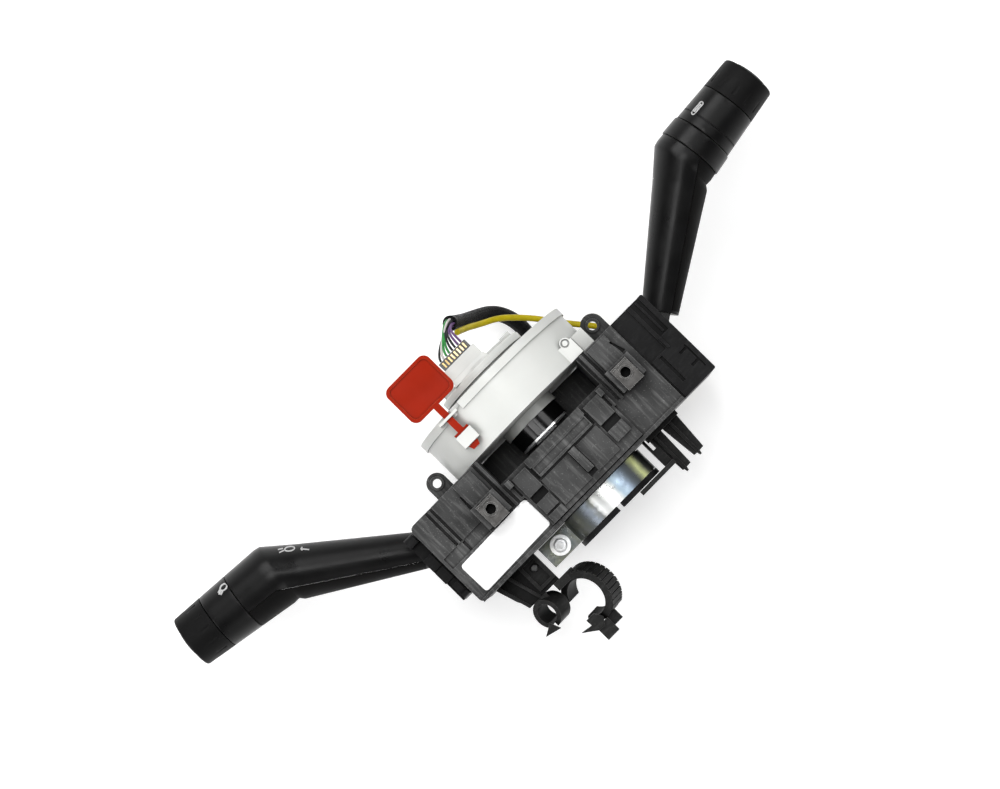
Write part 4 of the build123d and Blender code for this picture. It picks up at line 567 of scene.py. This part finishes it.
@dataclass(frozen=True)
class Palette:
    """Every finish on the switch, by the piece it covers."""

    # Carrier: painted shade in corners and slots, and edges lightened partly as wear and partly as a painted
    # highlight.
    carrier: Moulded = Moulded(
        "carrier_nylon", (0.050, 0.0503, 0.0502), roughness=0.42, dust=0.42, mottle=0.45,
        dust_wear_and_highlight=(0.22, 0.22, 0.218), edge_wear_and_highlight_share=0.95, specular=0.11, painted_shade=0.97, edge_radius=0.0005,
        streak=(3.5, 0.35, 1.0))
    # Module: painted shade in corners and slots, and edges lightened partly as wear and partly as a painted
    # highlight.
    module: Moulded = Moulded(
        "module_nylon", (0.0065, 0.0065, 0.0068), roughness=0.42, dust=0.08, mottle=0.30,
        dust_wear_and_highlight=(0.09, 0.09, 0.092), edge_wear_and_highlight_share=0.6, specular=0.09, painted_shade=0.95)
    # Clips: painted shade in corners and slots, and edges lightened partly as wear and partly as a painted
    # highlight.
    clip: Moulded = Moulded(
        "clip_nylon", (0.013, 0.013, 0.0127), roughness=0.42, dust=0.12, mottle=0.3, dust_wear_and_highlight=(0.15, 0.15, 0.147),
        edge_wear_and_highlight_share=0.8, specular=0.12, painted_shade=0.95)
    lever: Moulded = Moulded(
        "lever_grain", (0.0016, 0.0016, 0.0017), roughness=0.32, grain=1500.0, depth=0.000012,
        dust_wear_and_highlight=(0.012, 0.012, 0.0125), edge_wear_and_highlight_share=0.25, edge_radius=0.0006, specular=0.20, edge_rough=0.5)
    strip: Moulded = Moulded(
        "strip_grain", (0.0022, 0.0021, 0.002), roughness=0.55, grain=1500.0, depth=0.00002,
        dust_wear_and_highlight=(0.016, 0.015, 0.014), edge_wear_and_highlight_share=0.35, edge_radius=0.0006, specular=0.08, edge_rough=0.4)
    knob: Moulded = Moulded(
        "knob_grain", (0.0020, 0.0020, 0.0021), roughness=0.50, grain=1700.0, depth=0.00003,
        dust_wear_and_highlight=(0.016, 0.016, 0.0165), edge_wear_and_highlight_share=0.3, edge_radius=0.0004, specular=0.12)
    gloss: Moulded = Moulded(
        "gloss_acetal", (0.003, 0.003, 0.003), roughness=0.16, depth=0.0, mottle=0.1, dust_wear_and_highlight=(0.03, 0.03, 0.03),
        edge_wear_and_highlight_share=0.3, specular=0.35)
    # White acetal: painted shade in corners and slots, and edges lightened partly as wear and partly as a
    # painted highlight.
    white: Moulded = Moulded(
        "white_acetal", (0.66, 0.67, 0.645), roughness=0.36, grain=700.0, depth=0.00001, mottle=0.03,
        dust_wear_and_highlight=(0.86, 0.86, 0.85), edge_wear_and_highlight_share=0.4, subsurface=0.12, edge_radius=0.0003, painted_shade=0.45)
    nylon: Moulded = Moulded(
        "natural_nylon", (0.60, 0.56, 0.46), roughness=0.40, mottle=0.06, dust_wear_and_highlight=(0.75, 0.72, 0.66),
        subsurface=0.15)
    # Transport key: its light red edges are partly wear and partly a painted highlight on the border, with
    # painted shade in its corners.
    red: Moulded = Moulded(
        "key_polypropylene", (0.31, 0.0125, 0.0005), roughness=0.34, grain=500.0, depth=0.00003, mottle=0.10,
        dust_wear_and_highlight=(0.75, 0.13, 0.05), edge_wear_and_highlight_share=0.8, specular=0.05, painted_shade=0.6, painted_shade_reach=0.003)
    film: Moulded = Moulded(
        "ribbon_film", (0.55, 0.33, 0.09), roughness=0.18, depth=0.0, dust_wear_and_highlight=(0.7, 0.5, 0.2))
    # The dark, blue, white and yellow bands across the clamp band are painted reflections of the
    # surroundings.
    zinc: Plated = Plated(
        "passivated_zinc", (0.62, 0.64, 0.63), (0.58, 0.60, 0.48), (0.44, 0.54, 0.56), painted_reflections=(
            (0.0, (0.006, 0.009, 0.007)), (0.14, (0.012, 0.014, 0.013)), (0.27, (0.03, 0.045, 0.09)),
            (0.33, (0.015, 0.016, 0.02)), (0.37, (0.80, 0.81, 0.80)), (0.56, (0.78, 0.80, 0.80)),
            (0.60, (0.30, 0.40, 0.50)), (0.70, (0.08, 0.12, 0.19)), (0.80, (0.04, 0.05, 0.07)),
            (0.86, (0.48, 0.52, 0.20)), (0.92, (0.02, 0.02, 0.02)),
        ))
    bolt: Plated = Plated(
        "bright_zinc", (0.72, 0.73, 0.74), (0.62, 0.62, 0.61), (0.78, 0.79, 0.80),
        roughness=0.34, stretch=EVEN, metallic=0.6)
    screw: Plated = Plated(
        "blackened_screw", (0.05, 0.05, 0.05), (0.07, 0.07, 0.07), (0.04, 0.04, 0.04),
        roughness=0.35, stretch=EVEN)
    nut: Plated = Plated(
        "dark_spring_steel", (0.10, 0.098, 0.095), (0.06, 0.058, 0.056), (0.14, 0.135, 0.13),
        roughness=0.44, stretch=EVEN)
    brass: Plated = Plated("contact_brass", (0.62, 0.44, 0.20), (0.70, 0.54, 0.30), (0.50, 0.34, 0.14))
    board: Board = Board("solder_mask")
    sleeve: Sheathed = Sheathed(
        "woven_sleeve", (0.002, 0.002, 0.0024), (0.011, 0.011, 0.012), Pattern.BRAID, specular=0.12)
    yellow: Sheathed = Sheathed(
        "yellow_tube", (0.50, 0.40, 0.006), (0.38, 0.30, 0.004), roughness=0.35, specular=0.15)
    white_wire: Sheathed = Sheathed("white_wire", (0.66, 0.64, 0.62), (0.56, 0.54, 0.52))
    green_wire: Sheathed = Sheathed("green_wire", (0.04, 0.30, 0.06), (0.03, 0.20, 0.05))
    purple_wire: Sheathed = Sheathed("purple_wire", (0.16, 0.08, 0.22), (0.11, 0.05, 0.16))
    black_wire: Sheathed = Sheathed("black_wire", (0.006, 0.006, 0.007), (0.012, 0.012, 0.013))
    label: Moulded = Moulded(
        "label_film", (0.88, 0.88, 0.88), roughness=0.42, grain=300.0, depth=0.00001, mottle=0.015,
        dust_wear_and_highlight=(0.70, 0.70, 0.70), edge_wear_and_highlight_share=0.3, edge_radius=0.0001)
    ink: Moulded = Moulded(
        "symbol_ink", (0.50, 0.50, 0.50), roughness=0.5, depth=0.0, mottle=0.05, dust_wear_and_highlight=(0.4, 0.4, 0.4))


class Dresser:
    """Puts a finish on a CAD node or a new piece, and makes each finish once."""

    COVERS = {
        "carrier": ("carrier", "front_cover"),
        "clip": ("harness_bracket", "large_cable_clip", "small_cable_clip", "guide_prongs"),
        "module": ("column_collar", "left_bezel", "left_housing", "right_housing", "left_housing_lid",
                   "right_housing_lid", "back_cover", "black_connector"),
        "lever": ("left_lever", "right_lever", "left_fog_ring", "right_head_collar", "right_delay_ring"),
        "strip": ("left_lever_strip", "right_lever_strip"),
        "knob": ("left_light_knob", "left_button", "right_end_knob", "right_button"),
        "gloss": ("rotor_plug", "cancel_cam"),
        "white": ("clock_spring_case", "clock_spring_cover", "rotor"),
        "nylon": ("left_yoke", "right_yoke", "left_plunger", "right_plunger"),
        "red": ("transport_key",),
        "film": ("ribbon_cable",),
        "zinc": ("clamp_band",),
        "bolt": ("clamp_bolt", "clamp_nut", "left_detent_spring", "right_detent_spring", "cam_clip"),
        "screw": ("bracket_screw",),
        "nut": ("clip_nuts",),
        "brass": ("socket_pins", "plug_contacts"),
        "board": ("left_contact_board", "right_contact_board", "control_board"),
        "sleeve": ("black_lead",),
        "yellow": ("yellow_lead", "yellow_connector"),
        "purple_wire": ("plug_wires",),
    }

    MERGE_DISTANCE = 2e-6
    SHARP_ANGLE = 30.0

    def __init__(self, palette: Palette) -> None:
        """Starts with no material made.

        Args:
            palette: the finishes.
        """
        self.palette = palette
        self.made: dict[str, bpy.types.Material] = {}
        self.shading = self.smooth_group()

    def paint(self, piece: bpy.types.Object, name: str) -> None:
        """Gives the whole piece one finish, which is made when it is first used.

        Args:
            piece: the piece.
            name: the finish's name in the palette.
        """
        if name not in self.made:
            self.made[name] = getattr(self.palette, name).build()
        piece.data.materials.clear()
        piece.data.materials.append(self.made[name])

    def smooth_group(self) -> bpy.types.NodeTree:
        """A modifier that joins loose triangles and keeps only edges over the sharp angle sharp.

        Returns:
            The node group that the modifier runs.
        """
        group = bpy.data.node_groups.new("join_and_smooth", "GeometryNodeTree")
        for way in ("INPUT", "OUTPUT"):
            group.interface.new_socket("Geometry", in_out=way, socket_type="NodeSocketGeometry")
        nodes, links = group.nodes, group.links
        source, sink = nodes.new("NodeGroupInput"), nodes.new("NodeGroupOutput")
        clean = nodes.new("GeometryNodeRemoveAttribute")
        clean.inputs["Name"].default_value = "custom_normal"
        merge = nodes.new("GeometryNodeMergeByDistance")
        merge.inputs["Distance"].default_value = self.MERGE_DISTANCE
        smooth, sharp = (nodes.new("GeometryNodeSetShadeSmooth") for _ in range(2))
        smooth.inputs["Shade Smooth"].default_value = True
        sharp.inputs["Shade Smooth"].default_value = False
        sharp.domain = "EDGE"
        angle, over = nodes.new("GeometryNodeInputMeshEdgeAngle"), nodes.new("FunctionNodeCompare")
        over.data_type = "FLOAT"
        over.operation = "GREATER_THAN"
        over.inputs["B"].default_value = math.radians(self.SHARP_ANGLE)
        links.new(angle.outputs["Unsigned Angle"], over.inputs["A"])
        links.new(over.outputs["Result"], sharp.inputs["Selection"])
        flow = source.outputs[0]
        for node in (clean, merge, smooth, sharp):
            links.new(flow, node.inputs["Geometry"])
            flow = node.outputs["Geometry"]
        links.new(flow, sink.inputs[0])
        return group

    def dress(self, nodes: dict[str, bpy.types.Object]) -> None:
        """Finishes and smooths every CAD node.

        Args:
            nodes: CAD node name to its object.
        """
        finish_of = {name: finish for finish, names in self.COVERS.items() for name in names}
        for name, piece in nodes.items():
            self.paint(piece, finish_of[name])
            piece.modifiers.new("join_and_smooth", "NODES").node_group = self.shading
            LOG.info("%s dressed as %s", name, finish_of[name])


def heading(degrees: float) -> np.ndarray:
    """The unit vector in the plane of X and Y at an angle from +X."""
    return np.array([math.cos(math.radians(degrees)), math.sin(math.radians(degrees))])


def arc(centre: Pair, radii: Pair, start: float, end: float, tilt: float = 0.0) -> Line:
    """Points on an oval.

    At each angle the point is the half width times the cosine and the half height times the sine,
    turned by the tilt about the oval's middle.

    Args:
        centre: the oval's middle.
        radii: its half width and half height.
        start: the first angle in degrees.
        end: the last angle in degrees.
        tilt: how far the whole oval is turned, in degrees.

    Returns:
        The points in order.
    """
    angle = np.radians(np.linspace(start, end, ARC_SAMPLES))
    x, y = radii[0] * np.cos(angle), radii[1] * np.sin(angle)
    cos, sin = heading(tilt)
    return list(zip(centre[0] + x * cos - y * sin, centre[1] + x * sin + y * cos))


def capped(rings: np.ndarray) -> np.ndarray:
    """Adds a ring at each end, the end ring drawn in to its own middle, so that the tube is closed.

    Args:
        rings: rows of points round the tube, each row x columns x 3.

    Returns:
        The rows with one more at each end.
    """
    first, last = (end.mean(axis=1, keepdims=True) for end in (rings[:1], rings[-1:]))
    return np.concatenate([
        first + END_SHARE * (rings[:1] - first), rings, last + END_SHARE * (rings[-1:] - last),
    ])


def tube_grid(path: np.ndarray, radius: float, sides: int = 12) -> np.ndarray:
    """A round tube along a path.

    At each point the circle stands square to the path. Its first axis is carried on from the point
    before with the part along the path taken off, so the tube doesn't twist.

    Args:
        path: points along the middle.
        radius: the tube's radius.
        sides: points round it.

    Returns:
        Points as rows along the path and columns round it, with both ends closed.
    """
    ahead = np.gradient(path, axis=0)
    ahead /= np.linalg.norm(ahead, axis=1, keepdims=True)
    not_along = (0.3, 0.1, 0.9)
    axis = np.cross(ahead[0], not_along)
    angle = np.linspace(0, 2 * math.pi, sides, endpoint=False)[:, None]
    rings = []
    for place, direction in zip(path, ahead):
        axis = axis - direction * axis.dot(direction)
        axis /= np.linalg.norm(axis)
        other = np.cross(direction, axis)
        rings.append(place + radius * (np.cos(angle) * axis + np.sin(angle) * other))
    return capped(np.array(rings))


def surface(name: str, grids: list[np.ndarray], close_u: bool = False) -> bpy.types.Object:
    """One mesh of several grids of points, as quads between neighbours.

    Args:
        name: the object's name.
        grids: arrays of rows x columns x 3, in metres.
        close_u: joins each grid's last column to its first.

    Returns:
        The new object, smooth shaded, at the origin.
    """
    points, quads, start = [], [], 0
    for grid in grids:
        rows, columns = grid.shape[:2]
        index = np.arange(rows * columns).reshape(rows, columns) + start
        if close_u:
            index = np.concatenate([index, index[:, :1]], axis=1)
        quad = np.stack([index[:-1, :-1], index[:-1, 1:], index[1:, 1:], index[1:, :-1]], axis=-1)
        quads += quad.reshape(-1, 4).tolist()
        points += grid.reshape(-1, 3).tolist()
        start += rows * columns
    mesh = bpy.data.meshes.new(name)
    mesh.from_pydata(points, [], quads)
    mesh.polygons.foreach_set("use_smooth", np.ones(len(quads), bool))
    mesh.update()
    piece = bpy.data.objects.new(name, mesh)
    bpy.context.scene.collection.objects.link(piece)
    return piece


@dataclass
class Lead:
    """A round lead of the clock spring: a smooth curve over its route's control points.

    The route is in millimetres.
    """

    name: str
    finish: str
    diameter: float
    length: float
    route: list[Point]
    spline_order: int = 3
    resolution: int = 12
    bevel_resolution: int = 5

    def curve(self) -> bpy.types.Object:
        """Makes the lead as a NURBS curve whose ends lie on the route's ends, with a round section.

        Returns:
            The curve's object.
        """
        data = bpy.data.curves.new(f"{self.name}_run", "CURVE")
        data.dimensions = "3D"
        spline = data.splines.new("NURBS")
        spline.points.add(len(self.route) - 1)
        flat = np.array([(x * MM, y * MM, z * MM, 1.0) for x, y, z in self.route]).ravel()
        spline.points.foreach_set("co", flat)
        spline.order_u = self.spline_order
        spline.use_endpoint_u = True
        spline.use_smooth = True
        data.resolution_u = self.resolution
        data.bevel_depth = self.diameter / 2
        data.bevel_resolution = self.bevel_resolution
        data.use_fill_caps = True
        piece = bpy.data.objects.new(f"{self.name}_run", data)
        bpy.context.scene.collection.objects.link(piece)
        return piece

    def build(self, dresser: Dresser, nodes: dict[str, bpy.types.Object]) -> None:
        """Makes the lead, in place of its CAD node.

        Args:
            dresser: gives the finish.
            nodes: CAD node name to its object; not used.
        """
        piece = self.curve()
        dresser.paint(piece, self.finish)
        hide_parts(self.name)
        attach(piece, Body.UNIT.value)
        LOG.info("%s laid along %d points", self.name, len(self.route))


def leads() -> list[Lead]:
    """The two leads of the clock spring."""
    return [
        Lead("black_lead", "sleeve", diameter=0.0080, length=0.1275, route=[
            (5.6, 117.9, 2.0), (10.0, 115.6, -12.0), (19.0, 112.9, -28.0), (26.6, 109.0, -35.5),
            (31.2, 98.8, -39.4), (30.4, 87.4, -42.16), (32.3, 75.6, -43.86), (38.2, 63.0, -44.45),
            (43.4, 51.6, -44.4), (46.4, 40.4, -44.45), (46.4, 30.4, -44.45),
        ]),
        Lead("yellow_lead", "yellow", diameter=0.0032, length=0.1317, route=[
            (4.9, 111.9, 4.0), (9.5, 111.3, -6.0), (16.5, 108.3, -17.0), (25.5, 104.5, -24.4),
            (33.6, 97.2, -30.0), (40.2, 89.8, -33.6), (45.4, 82.0, -34.4), (51.4, 74.4, -33.2),
            (57.6, 66.6, -31.6), (62.4, 58.8, -33.4), (65.0, 51.0, -38.6), (66.1, 43.6, -43.4),
            (66.4, 35.6, -44.75), (66.4, 28.0, -44.75),
        ]),
    ]


@dataclass
class PlugWires:
    """The small wires that fan out of the rotor's plug and run into the black sleeve.

    The sizes are in millimetres. A _step is how far something moves from each wire to the next.
    """

    plug_top: float = 105.8
    plug_z: float = 16.2
    first_x: float = -11.3
    x_step: float = 2.0
    start_gap: float = 0.3
    lean_x: float = 0.2
    lean_z: float = 0.6
    rise: float = 4.2
    rise_step: float = 0.25
    gather: float = 0.35
    middle: Point = (1.2, 114.6, 12.6)
    middle_step: float = 0.12
    mouth: Point = (5.6, 117.9, 2.0)
    inward: Point = (0.29, -0.15, -0.94)
    mouth_ring: float = 2.1
    run_in: float = 6.0
    depth: float = 1.2
    radius: float = 0.62
    samples: int = 28
    finishes: tuple[str, ...] = (
        "black_wire", "white_wire", "green_wire", "green_wire", "black_wire", "black_wire",
        "purple_wire", "purple_wire",
    )

    def mouth_place(self, index: int) -> np.ndarray:
        """One wire's own place in the sleeve's mouth.

        The places lie evenly on a ring that stands square to the mouth.

        Args:
            index: the wire's number from the left.

        Returns:
            The place.
        """
        turn = 2 * math.pi * index / len(self.finishes)
        side = np.cross(self.inward, (0.0, 1.0, 0.0))
        side /= np.linalg.norm(side)
        ring = math.cos(turn) * side + math.sin(turn) * np.cross(side, self.inward)
        return np.array(self.mouth) + self.mouth_ring * ring

    def path(self, index: int) -> np.ndarray:
        """One wire's middle line.

        It is a Bezier curve of degree 4: up out of the plug, over towards the sleeve and along
        the mouth's own direction into it.

        Args:
            index: the wire's number from the left.

        Returns:
            Points along the line.
        """
        x = self.first_x + self.x_step * index
        place, inward = self.mouth_place(index), np.array(self.inward)
        controls = np.array([
            (x, self.plug_top + self.start_gap, self.plug_z),
            (x + self.lean_x, self.plug_top + self.rise + self.rise_step * index, self.plug_z + self.lean_z),
            (x * self.gather + self.middle[0], self.middle[1] + self.middle_step * index, self.middle[2]),
            place - self.run_in * inward,
            place + self.depth * inward,
        ])
        degree = len(controls) - 1
        t = np.linspace(0, 1, self.samples)[:, None]
        return sum(
            math.comb(degree, k) * (1 - t) ** (degree - k) * t**k * control
            for k, control in enumerate(controls)
        )

    def build(self, dresser: Dresser) -> None:
        """Makes every wire, in place of the plain bundle.

        Args:
            dresser: gives the finishes.
        """
        for index, finish in enumerate(self.finishes):
            tube = tube_grid(self.path(index), self.radius) * MM
            piece = surface(f"plug_wire_{index + 1}", [tube], close_u=True)
            dresser.paint(piece, finish)
            if index == 0:
                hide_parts("plug_wires")
            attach(piece, Body.UNIT.value)
        LOG.info("%d plug wires laid", len(self.finishes))


@dataclass
class SeamLip:
    """The lip inside the seam between a lever's body and its lower strip.

    The sizes are in millimetres, for the right lever. The left one is mirrored by a side of -1.
    """

    name: str
    body: Body
    side: int
    head_length: float
    arm_angle: float = 35.32
    head_angle: float = 7.1
    bend: Pair = (144.7, 91.4)
    arm_length: float = 74.0
    root_drop: float = 6.464
    bend_drop: float = 7.925
    half_widths: Point = (0.115, 0.095, 0.095)
    half_depth: float = 2.5

    def build(self, dresser: Dresser) -> None:
        """Makes the lip.

        Its middle line runs beside the arm and then beside the head, a little below both. Its
        section is a flat oblong, thin across the seam and deep along Z.

        Args:
            dresser: gives the finish.
        """
        arm, head, bend = heading(self.arm_angle), heading(self.head_angle), np.array(self.bend)
        below_arm, below_head = (np.array([way[1], -way[0]]) for way in (arm, head))
        corner = bend + below_arm * self.bend_drop
        line = np.array([
            bend - arm * self.arm_length + below_arm * self.root_drop, corner,
            corner + head * self.head_length,
        ])
        across = np.array([below_arm, below_arm, below_head]) * np.array(self.half_widths)[:, None]
        section = np.stack([
            np.concatenate([line + across * a, np.full((len(line), 1), self.half_depth * b)], axis=1)
            for a, b in ((-1, -1), (1, -1), (1, 1), (-1, 1))
        ], axis=1)
        section[..., 0] *= self.side
        grid = capped(section)
        if self.side > 0:
            grid = grid[:, ::-1]
        piece = surface(self.name, [grid * MM], close_u=True)
        dresser.paint(piece, "strip")
        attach(piece, self.body.value)
        LOG.info("%s set in", self.name)


@dataclass
class Symbol:
    """A printed symbol: strokes that lie on a node's surface where rays from the eye meet it.

    The strokes and their width are in millimetres, on the plane through the frame's X and Y.
    """

    name: str
    node: str
    body: Body
    strokes: list[Line]
    width: float
    lift: float = 0.00003

    SAMPLE_STEP = 0.2
    LEAST_SAMPLES = 4
    PROFILE = (     # share of half the width, and share of the lift
        (-1.0, 0.0), (-0.94, 1.0), (0.0, 1.0), (0.94, 1.0), (1.0, 0.0),
    )

    def strip(self, tree: BVHTree, stroke: Line) -> np.ndarray:
        """One stroke as a grid of points.

        The stroke's line is sampled evenly. At each sample rays are cast from the eye at the line
        and at shares of half the width on both sides, and the hits are lifted off the surface.

        Args:
            tree: the surface.
            stroke: the points where the line bends, and its ends.

        Returns:
            Rows along the stroke and columns across it, of which the outer two touch down.
        """
        bends = np.array(stroke, float)
        lengths = np.concatenate([[0.0], np.cumsum(np.linalg.norm(np.diff(bends, axis=0), axis=1))])
        count = max(self.LEAST_SAMPLES, int(lengths[-1] / self.SAMPLE_STEP))
        along = np.linspace(0, lengths[-1], count)
        middle = np.stack([np.interp(along, lengths, bends[:, axis]) for axis in (0, 1)], axis=1)
        ahead = np.gradient(middle, axis=0)
        ahead /= np.maximum(np.linalg.norm(ahead, axis=1, keepdims=True), TINY)
        side = np.stack([-ahead[:, 1], ahead[:, 0]], axis=1) * self.width / 2
        eye, rows = Vector(EYE), []
        for place, offset in zip(middle, side):
            row = []
            for share, lift in self.PROFILE:
                target = Vector((*((place + share * offset) * MM), 0.0))
                hit, normal, _, _ = tree.ray_cast(eye, (target - eye).normalized())
                if hit is not None:
                    row.append(tuple(hit + normal * self.lift * lift))
            if len(row) == len(self.PROFILE):
                rows.append(row)
        return np.array(rows)

    def build(self, dresser: Dresser, nodes: dict[str, bpy.types.Object]) -> None:
        """Makes the symbol.

        Args:
            dresser: gives the finish.
            nodes: CAD node name to its object.
        """
        tree = BVHTree.FromObject(nodes[self.node], bpy.context.evaluated_depsgraph_get())
        strips = [self.strip(tree, stroke) for stroke in self.strokes]
        piece = surface(self.name, [strip for strip in strips if len(strip) > 1])
        dresser.paint(piece, "ink")
        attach(piece, self.body.value)
        LOG.info("%s printed on %s", self.name, self.node)


def symbols() -> list[Symbol]:
    """The lamp and wiper symbols on both stalks."""
    return [
        Symbol("ring_lamp_symbol", "left_fog_ring", Body.FOG_RING, [
            arc((-168.1, 106.0), (2.0, 1.3), 0, 360), [(-170.2, 106.5), (-172.0, 105.9)],
            [(-170.4, 105.7), (-172.3, 105.1)], [(-169.9, 104.9), (-171.8, 104.3)],
        ], width=0.78),
        Symbol("arm_lamp_symbol", "left_lever", Body.LEFT_LEVER, [
            arc((-131.1, 95.9), (2.5, 1.1), 0, 360, -36), [(-133.6, 97.3), (-136.2, 98.3)],
            [(-133.3, 98.4), (-135.5, 99.8)],
        ], width=0.6),
        Symbol("arm_arrow_symbol", "left_lever", Body.LEFT_LEVER, [
            [(-127.2, 91.9), (-124.5, 88.6)], [(-126.0, 92.0), (-127.2, 91.9), (-127.2, 90.8)],
        ], width=0.6),
        Symbol("ring_scale_symbol", "right_delay_ring", Body.DELAY_RING, [
            [*arc((173.0, 105.6), (0.8, 0.8), 90, -90, 3), *arc((166.6, 105.2), (0.8, 0.8), 270, 90, 3),
             (173.0, 106.4)],
            [(167.2, 105.25), (172.6, 105.55)],
        ], width=0.62),
        Symbol("arm_wiper_symbol", "right_lever", Body.RIGHT_LEVER, [
            arc((128.9, 96.6), (1.7, 1.7), 60, 170), [(128.9, 96.2), (129.9, 98.6)],
        ], width=0.42),
    ]


@dataclass
class Label:
    """The blank white sticker on the carrier's front wall."""

    centre: Point = (-0.0527, 0.0194, 0.0360)
    width: float = 0.0455
    height: float = 0.0177
    corner: float = 0.0018
    thickness: float = 0.00018
    gap: float = 0.00002
    turn: float = 1.2
    sides: int = 64

    PROFILE = (     # share of the outline, and share of the thickness
        (0.002, 1.0), (0.5, 1.0), (0.9, 1.0), (0.985, 1.0), (1.0, 0.8), (1.0, 0.02),
    )

    def build(self, dresser: Dresser) -> None:
        """Makes a rounded rectangle with a rolled edge.

        The outline is a circle of the corner radius whose centre is moved to each quarter's corner.
        The rows take it from its middle out to the rim, then down to the wall.

        Args:
            dresser: gives the finish.
        """
        angle = np.linspace(0, 2 * math.pi, self.sides, endpoint=False)
        circle = np.stack([np.cos(angle), np.sin(angle)], axis=-1)
        middles = np.array([self.width / 2 - self.corner, self.height / 2 - self.corner])
        outline = np.sign(circle) * middles + self.corner * circle
        shares, heights = np.array(self.PROFILE).T
        flat = outline[None] * shares[:, None, None]
        cos, sin = heading(self.turn)
        x = flat[..., 0] * cos - flat[..., 1] * sin + self.centre[0]
        y = flat[..., 0] * sin + flat[..., 1] * cos + self.centre[1]
        z = np.broadcast_to(heights[:, None] * self.thickness, x.shape) + self.centre[2] + self.gap
        piece = surface("blank_label", [np.stack([x, y, z], axis=-1)], close_u=True)
        dresser.paint(piece, "label")
        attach(piece, Body.UNIT.value)
        LOG.info("blank label stuck on")


@dataclass
class Lamp:
    """A soft square lamp, with its power in watts."""

    name: str
    place: Point
    size: float
    power: float
    aim: Point = (0.0, 0.05, 0.0)

    def build(self) -> None:
        """Hangs the lamp so that it faces its aim."""
        data = bpy.data.lights.new(self.name, "AREA")
        data.size = self.size
        data.energy = self.power
        piece = bpy.data.objects.new(self.name, data)
        piece.location = self.place
        away = Vector(self.place) - Vector(self.aim)
        piece.rotation_euler = away.to_track_quat("Z", "Y").to_euler()
        bpy.context.scene.collection.objects.link(piece)


@dataclass
class Studio:
    """Camera, lamps, floor and surround."""

    aim: Point = (-0.0022, 0.075, 0.0)
    roll: float = -45.4
    lens: float = 93.8
    sensor: float = 36.0
    reach: float = 10.0
    floor_z: float = -0.0486
    floor_half: float = 3.0
    floor_tone: float = 0.80
    floor_mottle: float = 0.01
    floor_mottle_scale: float = 3.0
    glow_distances: Pair = (0.5, 2.2)
    glow_levels: Pair = (0.42, 1.0)
    dim_level: float = 0.20
    sky_heights: Pair = (0.12, 0.50)
    lamps: tuple[Lamp, ...] = (
        Lamp("key_lamp", (0.20, 1.10, 1.20), size=0.95, power=13.0),
        Lamp("top_lamp", (0.02, 0.30, 1.55), size=0.55, power=6.5),
        Lamp("left_lamp", (-1.05, 0.10, 0.90), size=0.8, power=7.0),
        Lamp("right_lamp", (0.95, -0.05, 1.15), size=0.7, power=5.0),
        Lamp("low_lamp", (-0.15, -1.05, 0.75), size=0.7, power=4.0),
    )

    def camera(self) -> None:
        """A camera that looks down on the switch, turned so that the stalks run up to the right."""
        data = bpy.data.cameras.new("camera")
        data.lens = self.lens
        data.sensor_width = self.sensor
        data.clip_end = self.reach
        piece = bpy.data.objects.new("camera", data)
        back = (Vector(EYE) - Vector(self.aim)).normalized()
        cos, sin = heading(self.roll)
        right = Vector((-sin, cos, 0.0)).cross(back).normalized()
        basis = Matrix((right, back.cross(right), back)).transposed().to_4x4()
        piece.matrix_world = Matrix.Translation(EYE) @ basis
        bpy.context.scene.collection.objects.link(piece)
        bpy.context.scene.camera = piece

    def floor(self) -> None:
        """A wide pale floor that keeps the shadow and reads near white where it is seen.

        Its glow grows with the distance from the switch.
        """
        g = FinishGraph("floor_paint")
        cloud = g.noise(self.floor_mottle_scale)
        tone = g.vary(cloud, self.floor_tone, self.floor_mottle, self.floor_mottle)
        colour = g.add("ShaderNodeCombineColor", {0: tone, 1: tone, 2: tone}).outputs[0]
        diffuse = g.add("ShaderNodeBsdfDiffuse", {"Color": colour}).outputs[0]
        away = g.add("ShaderNodeVectorMath", {0: g.position()}, operation="LENGTH").outputs["Value"]
        level = g.calc("MULTIPLY", g.seen(), g.spread(away, *self.glow_distances, *self.glow_levels))
        glow = g.add("ShaderNodeEmission", {"Strength": level}).outputs[0]
        g.close(g.add("ShaderNodeAddShader", {0: diffuse, 1: glow}))
        reach = np.linspace(-self.floor_half, self.floor_half, 3)
        x, y = np.meshgrid(reach, reach)
        piece = surface("floor", [np.stack([x, y, np.full_like(x, self.floor_z)], axis=-1)])
        piece.data.materials.append(g.material)

    def surround(self) -> None:
        """A pale surround that lights softly, is seen as white and is dim overhead."""
        world = bpy.data.worlds.new("surround")
        world.use_nodes = True
        bpy.context.scene.world = world
        g = NodeGraph(world.node_tree, "ShaderNodeOutputWorld")
        direction = g.add("ShaderNodeTexCoord").outputs["Generated"]
        height = g.add("ShaderNodeSeparateXYZ", {0: direction}).outputs["Z"]
        shown = g.spread(height, *self.sky_heights, 1.0, self.dim_level)
        level = g.spread(g.seen(), 0.0, 1.0, self.dim_level, shown)
        g.close(g.add("ShaderNodeBackground", {"Color": WHITE, "Strength": level}))

    def build(self) -> None:
        """Sets the whole studio up."""
        bpy.context.scene.view_settings.view_transform = "Standard"
        self.camera()
        self.floor()
        self.surround()
        for lamp in self.lamps:
            lamp.build()
        LOG.info("studio set up")


def main() -> None:
    """Loads the frame, dresses every node and adds the new pieces."""
    logging.basicConfig(level=logging.INFO, format="%(message)s")
    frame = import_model()
    nodes = frame["nodes"]
    dresser = Dresser(Palette())
    dresser.dress(nodes)
    Studio().build()
    for lead in leads():
        lead.build(dresser, nodes)
    Label().build(dresser)
    PlugWires().build(dresser)
    SeamLip("left_seam_lip", Body.LEFT_LEVER, side=-1, head_length=17.3).build(dresser)
    SeamLip("right_seam_lip", Body.RIGHT_LEVER, side=1, head_length=1.7).build(dresser)
    for symbol in symbols():
        symbol.build(dresser, nodes)


if __name__ == "__main__":
    main()
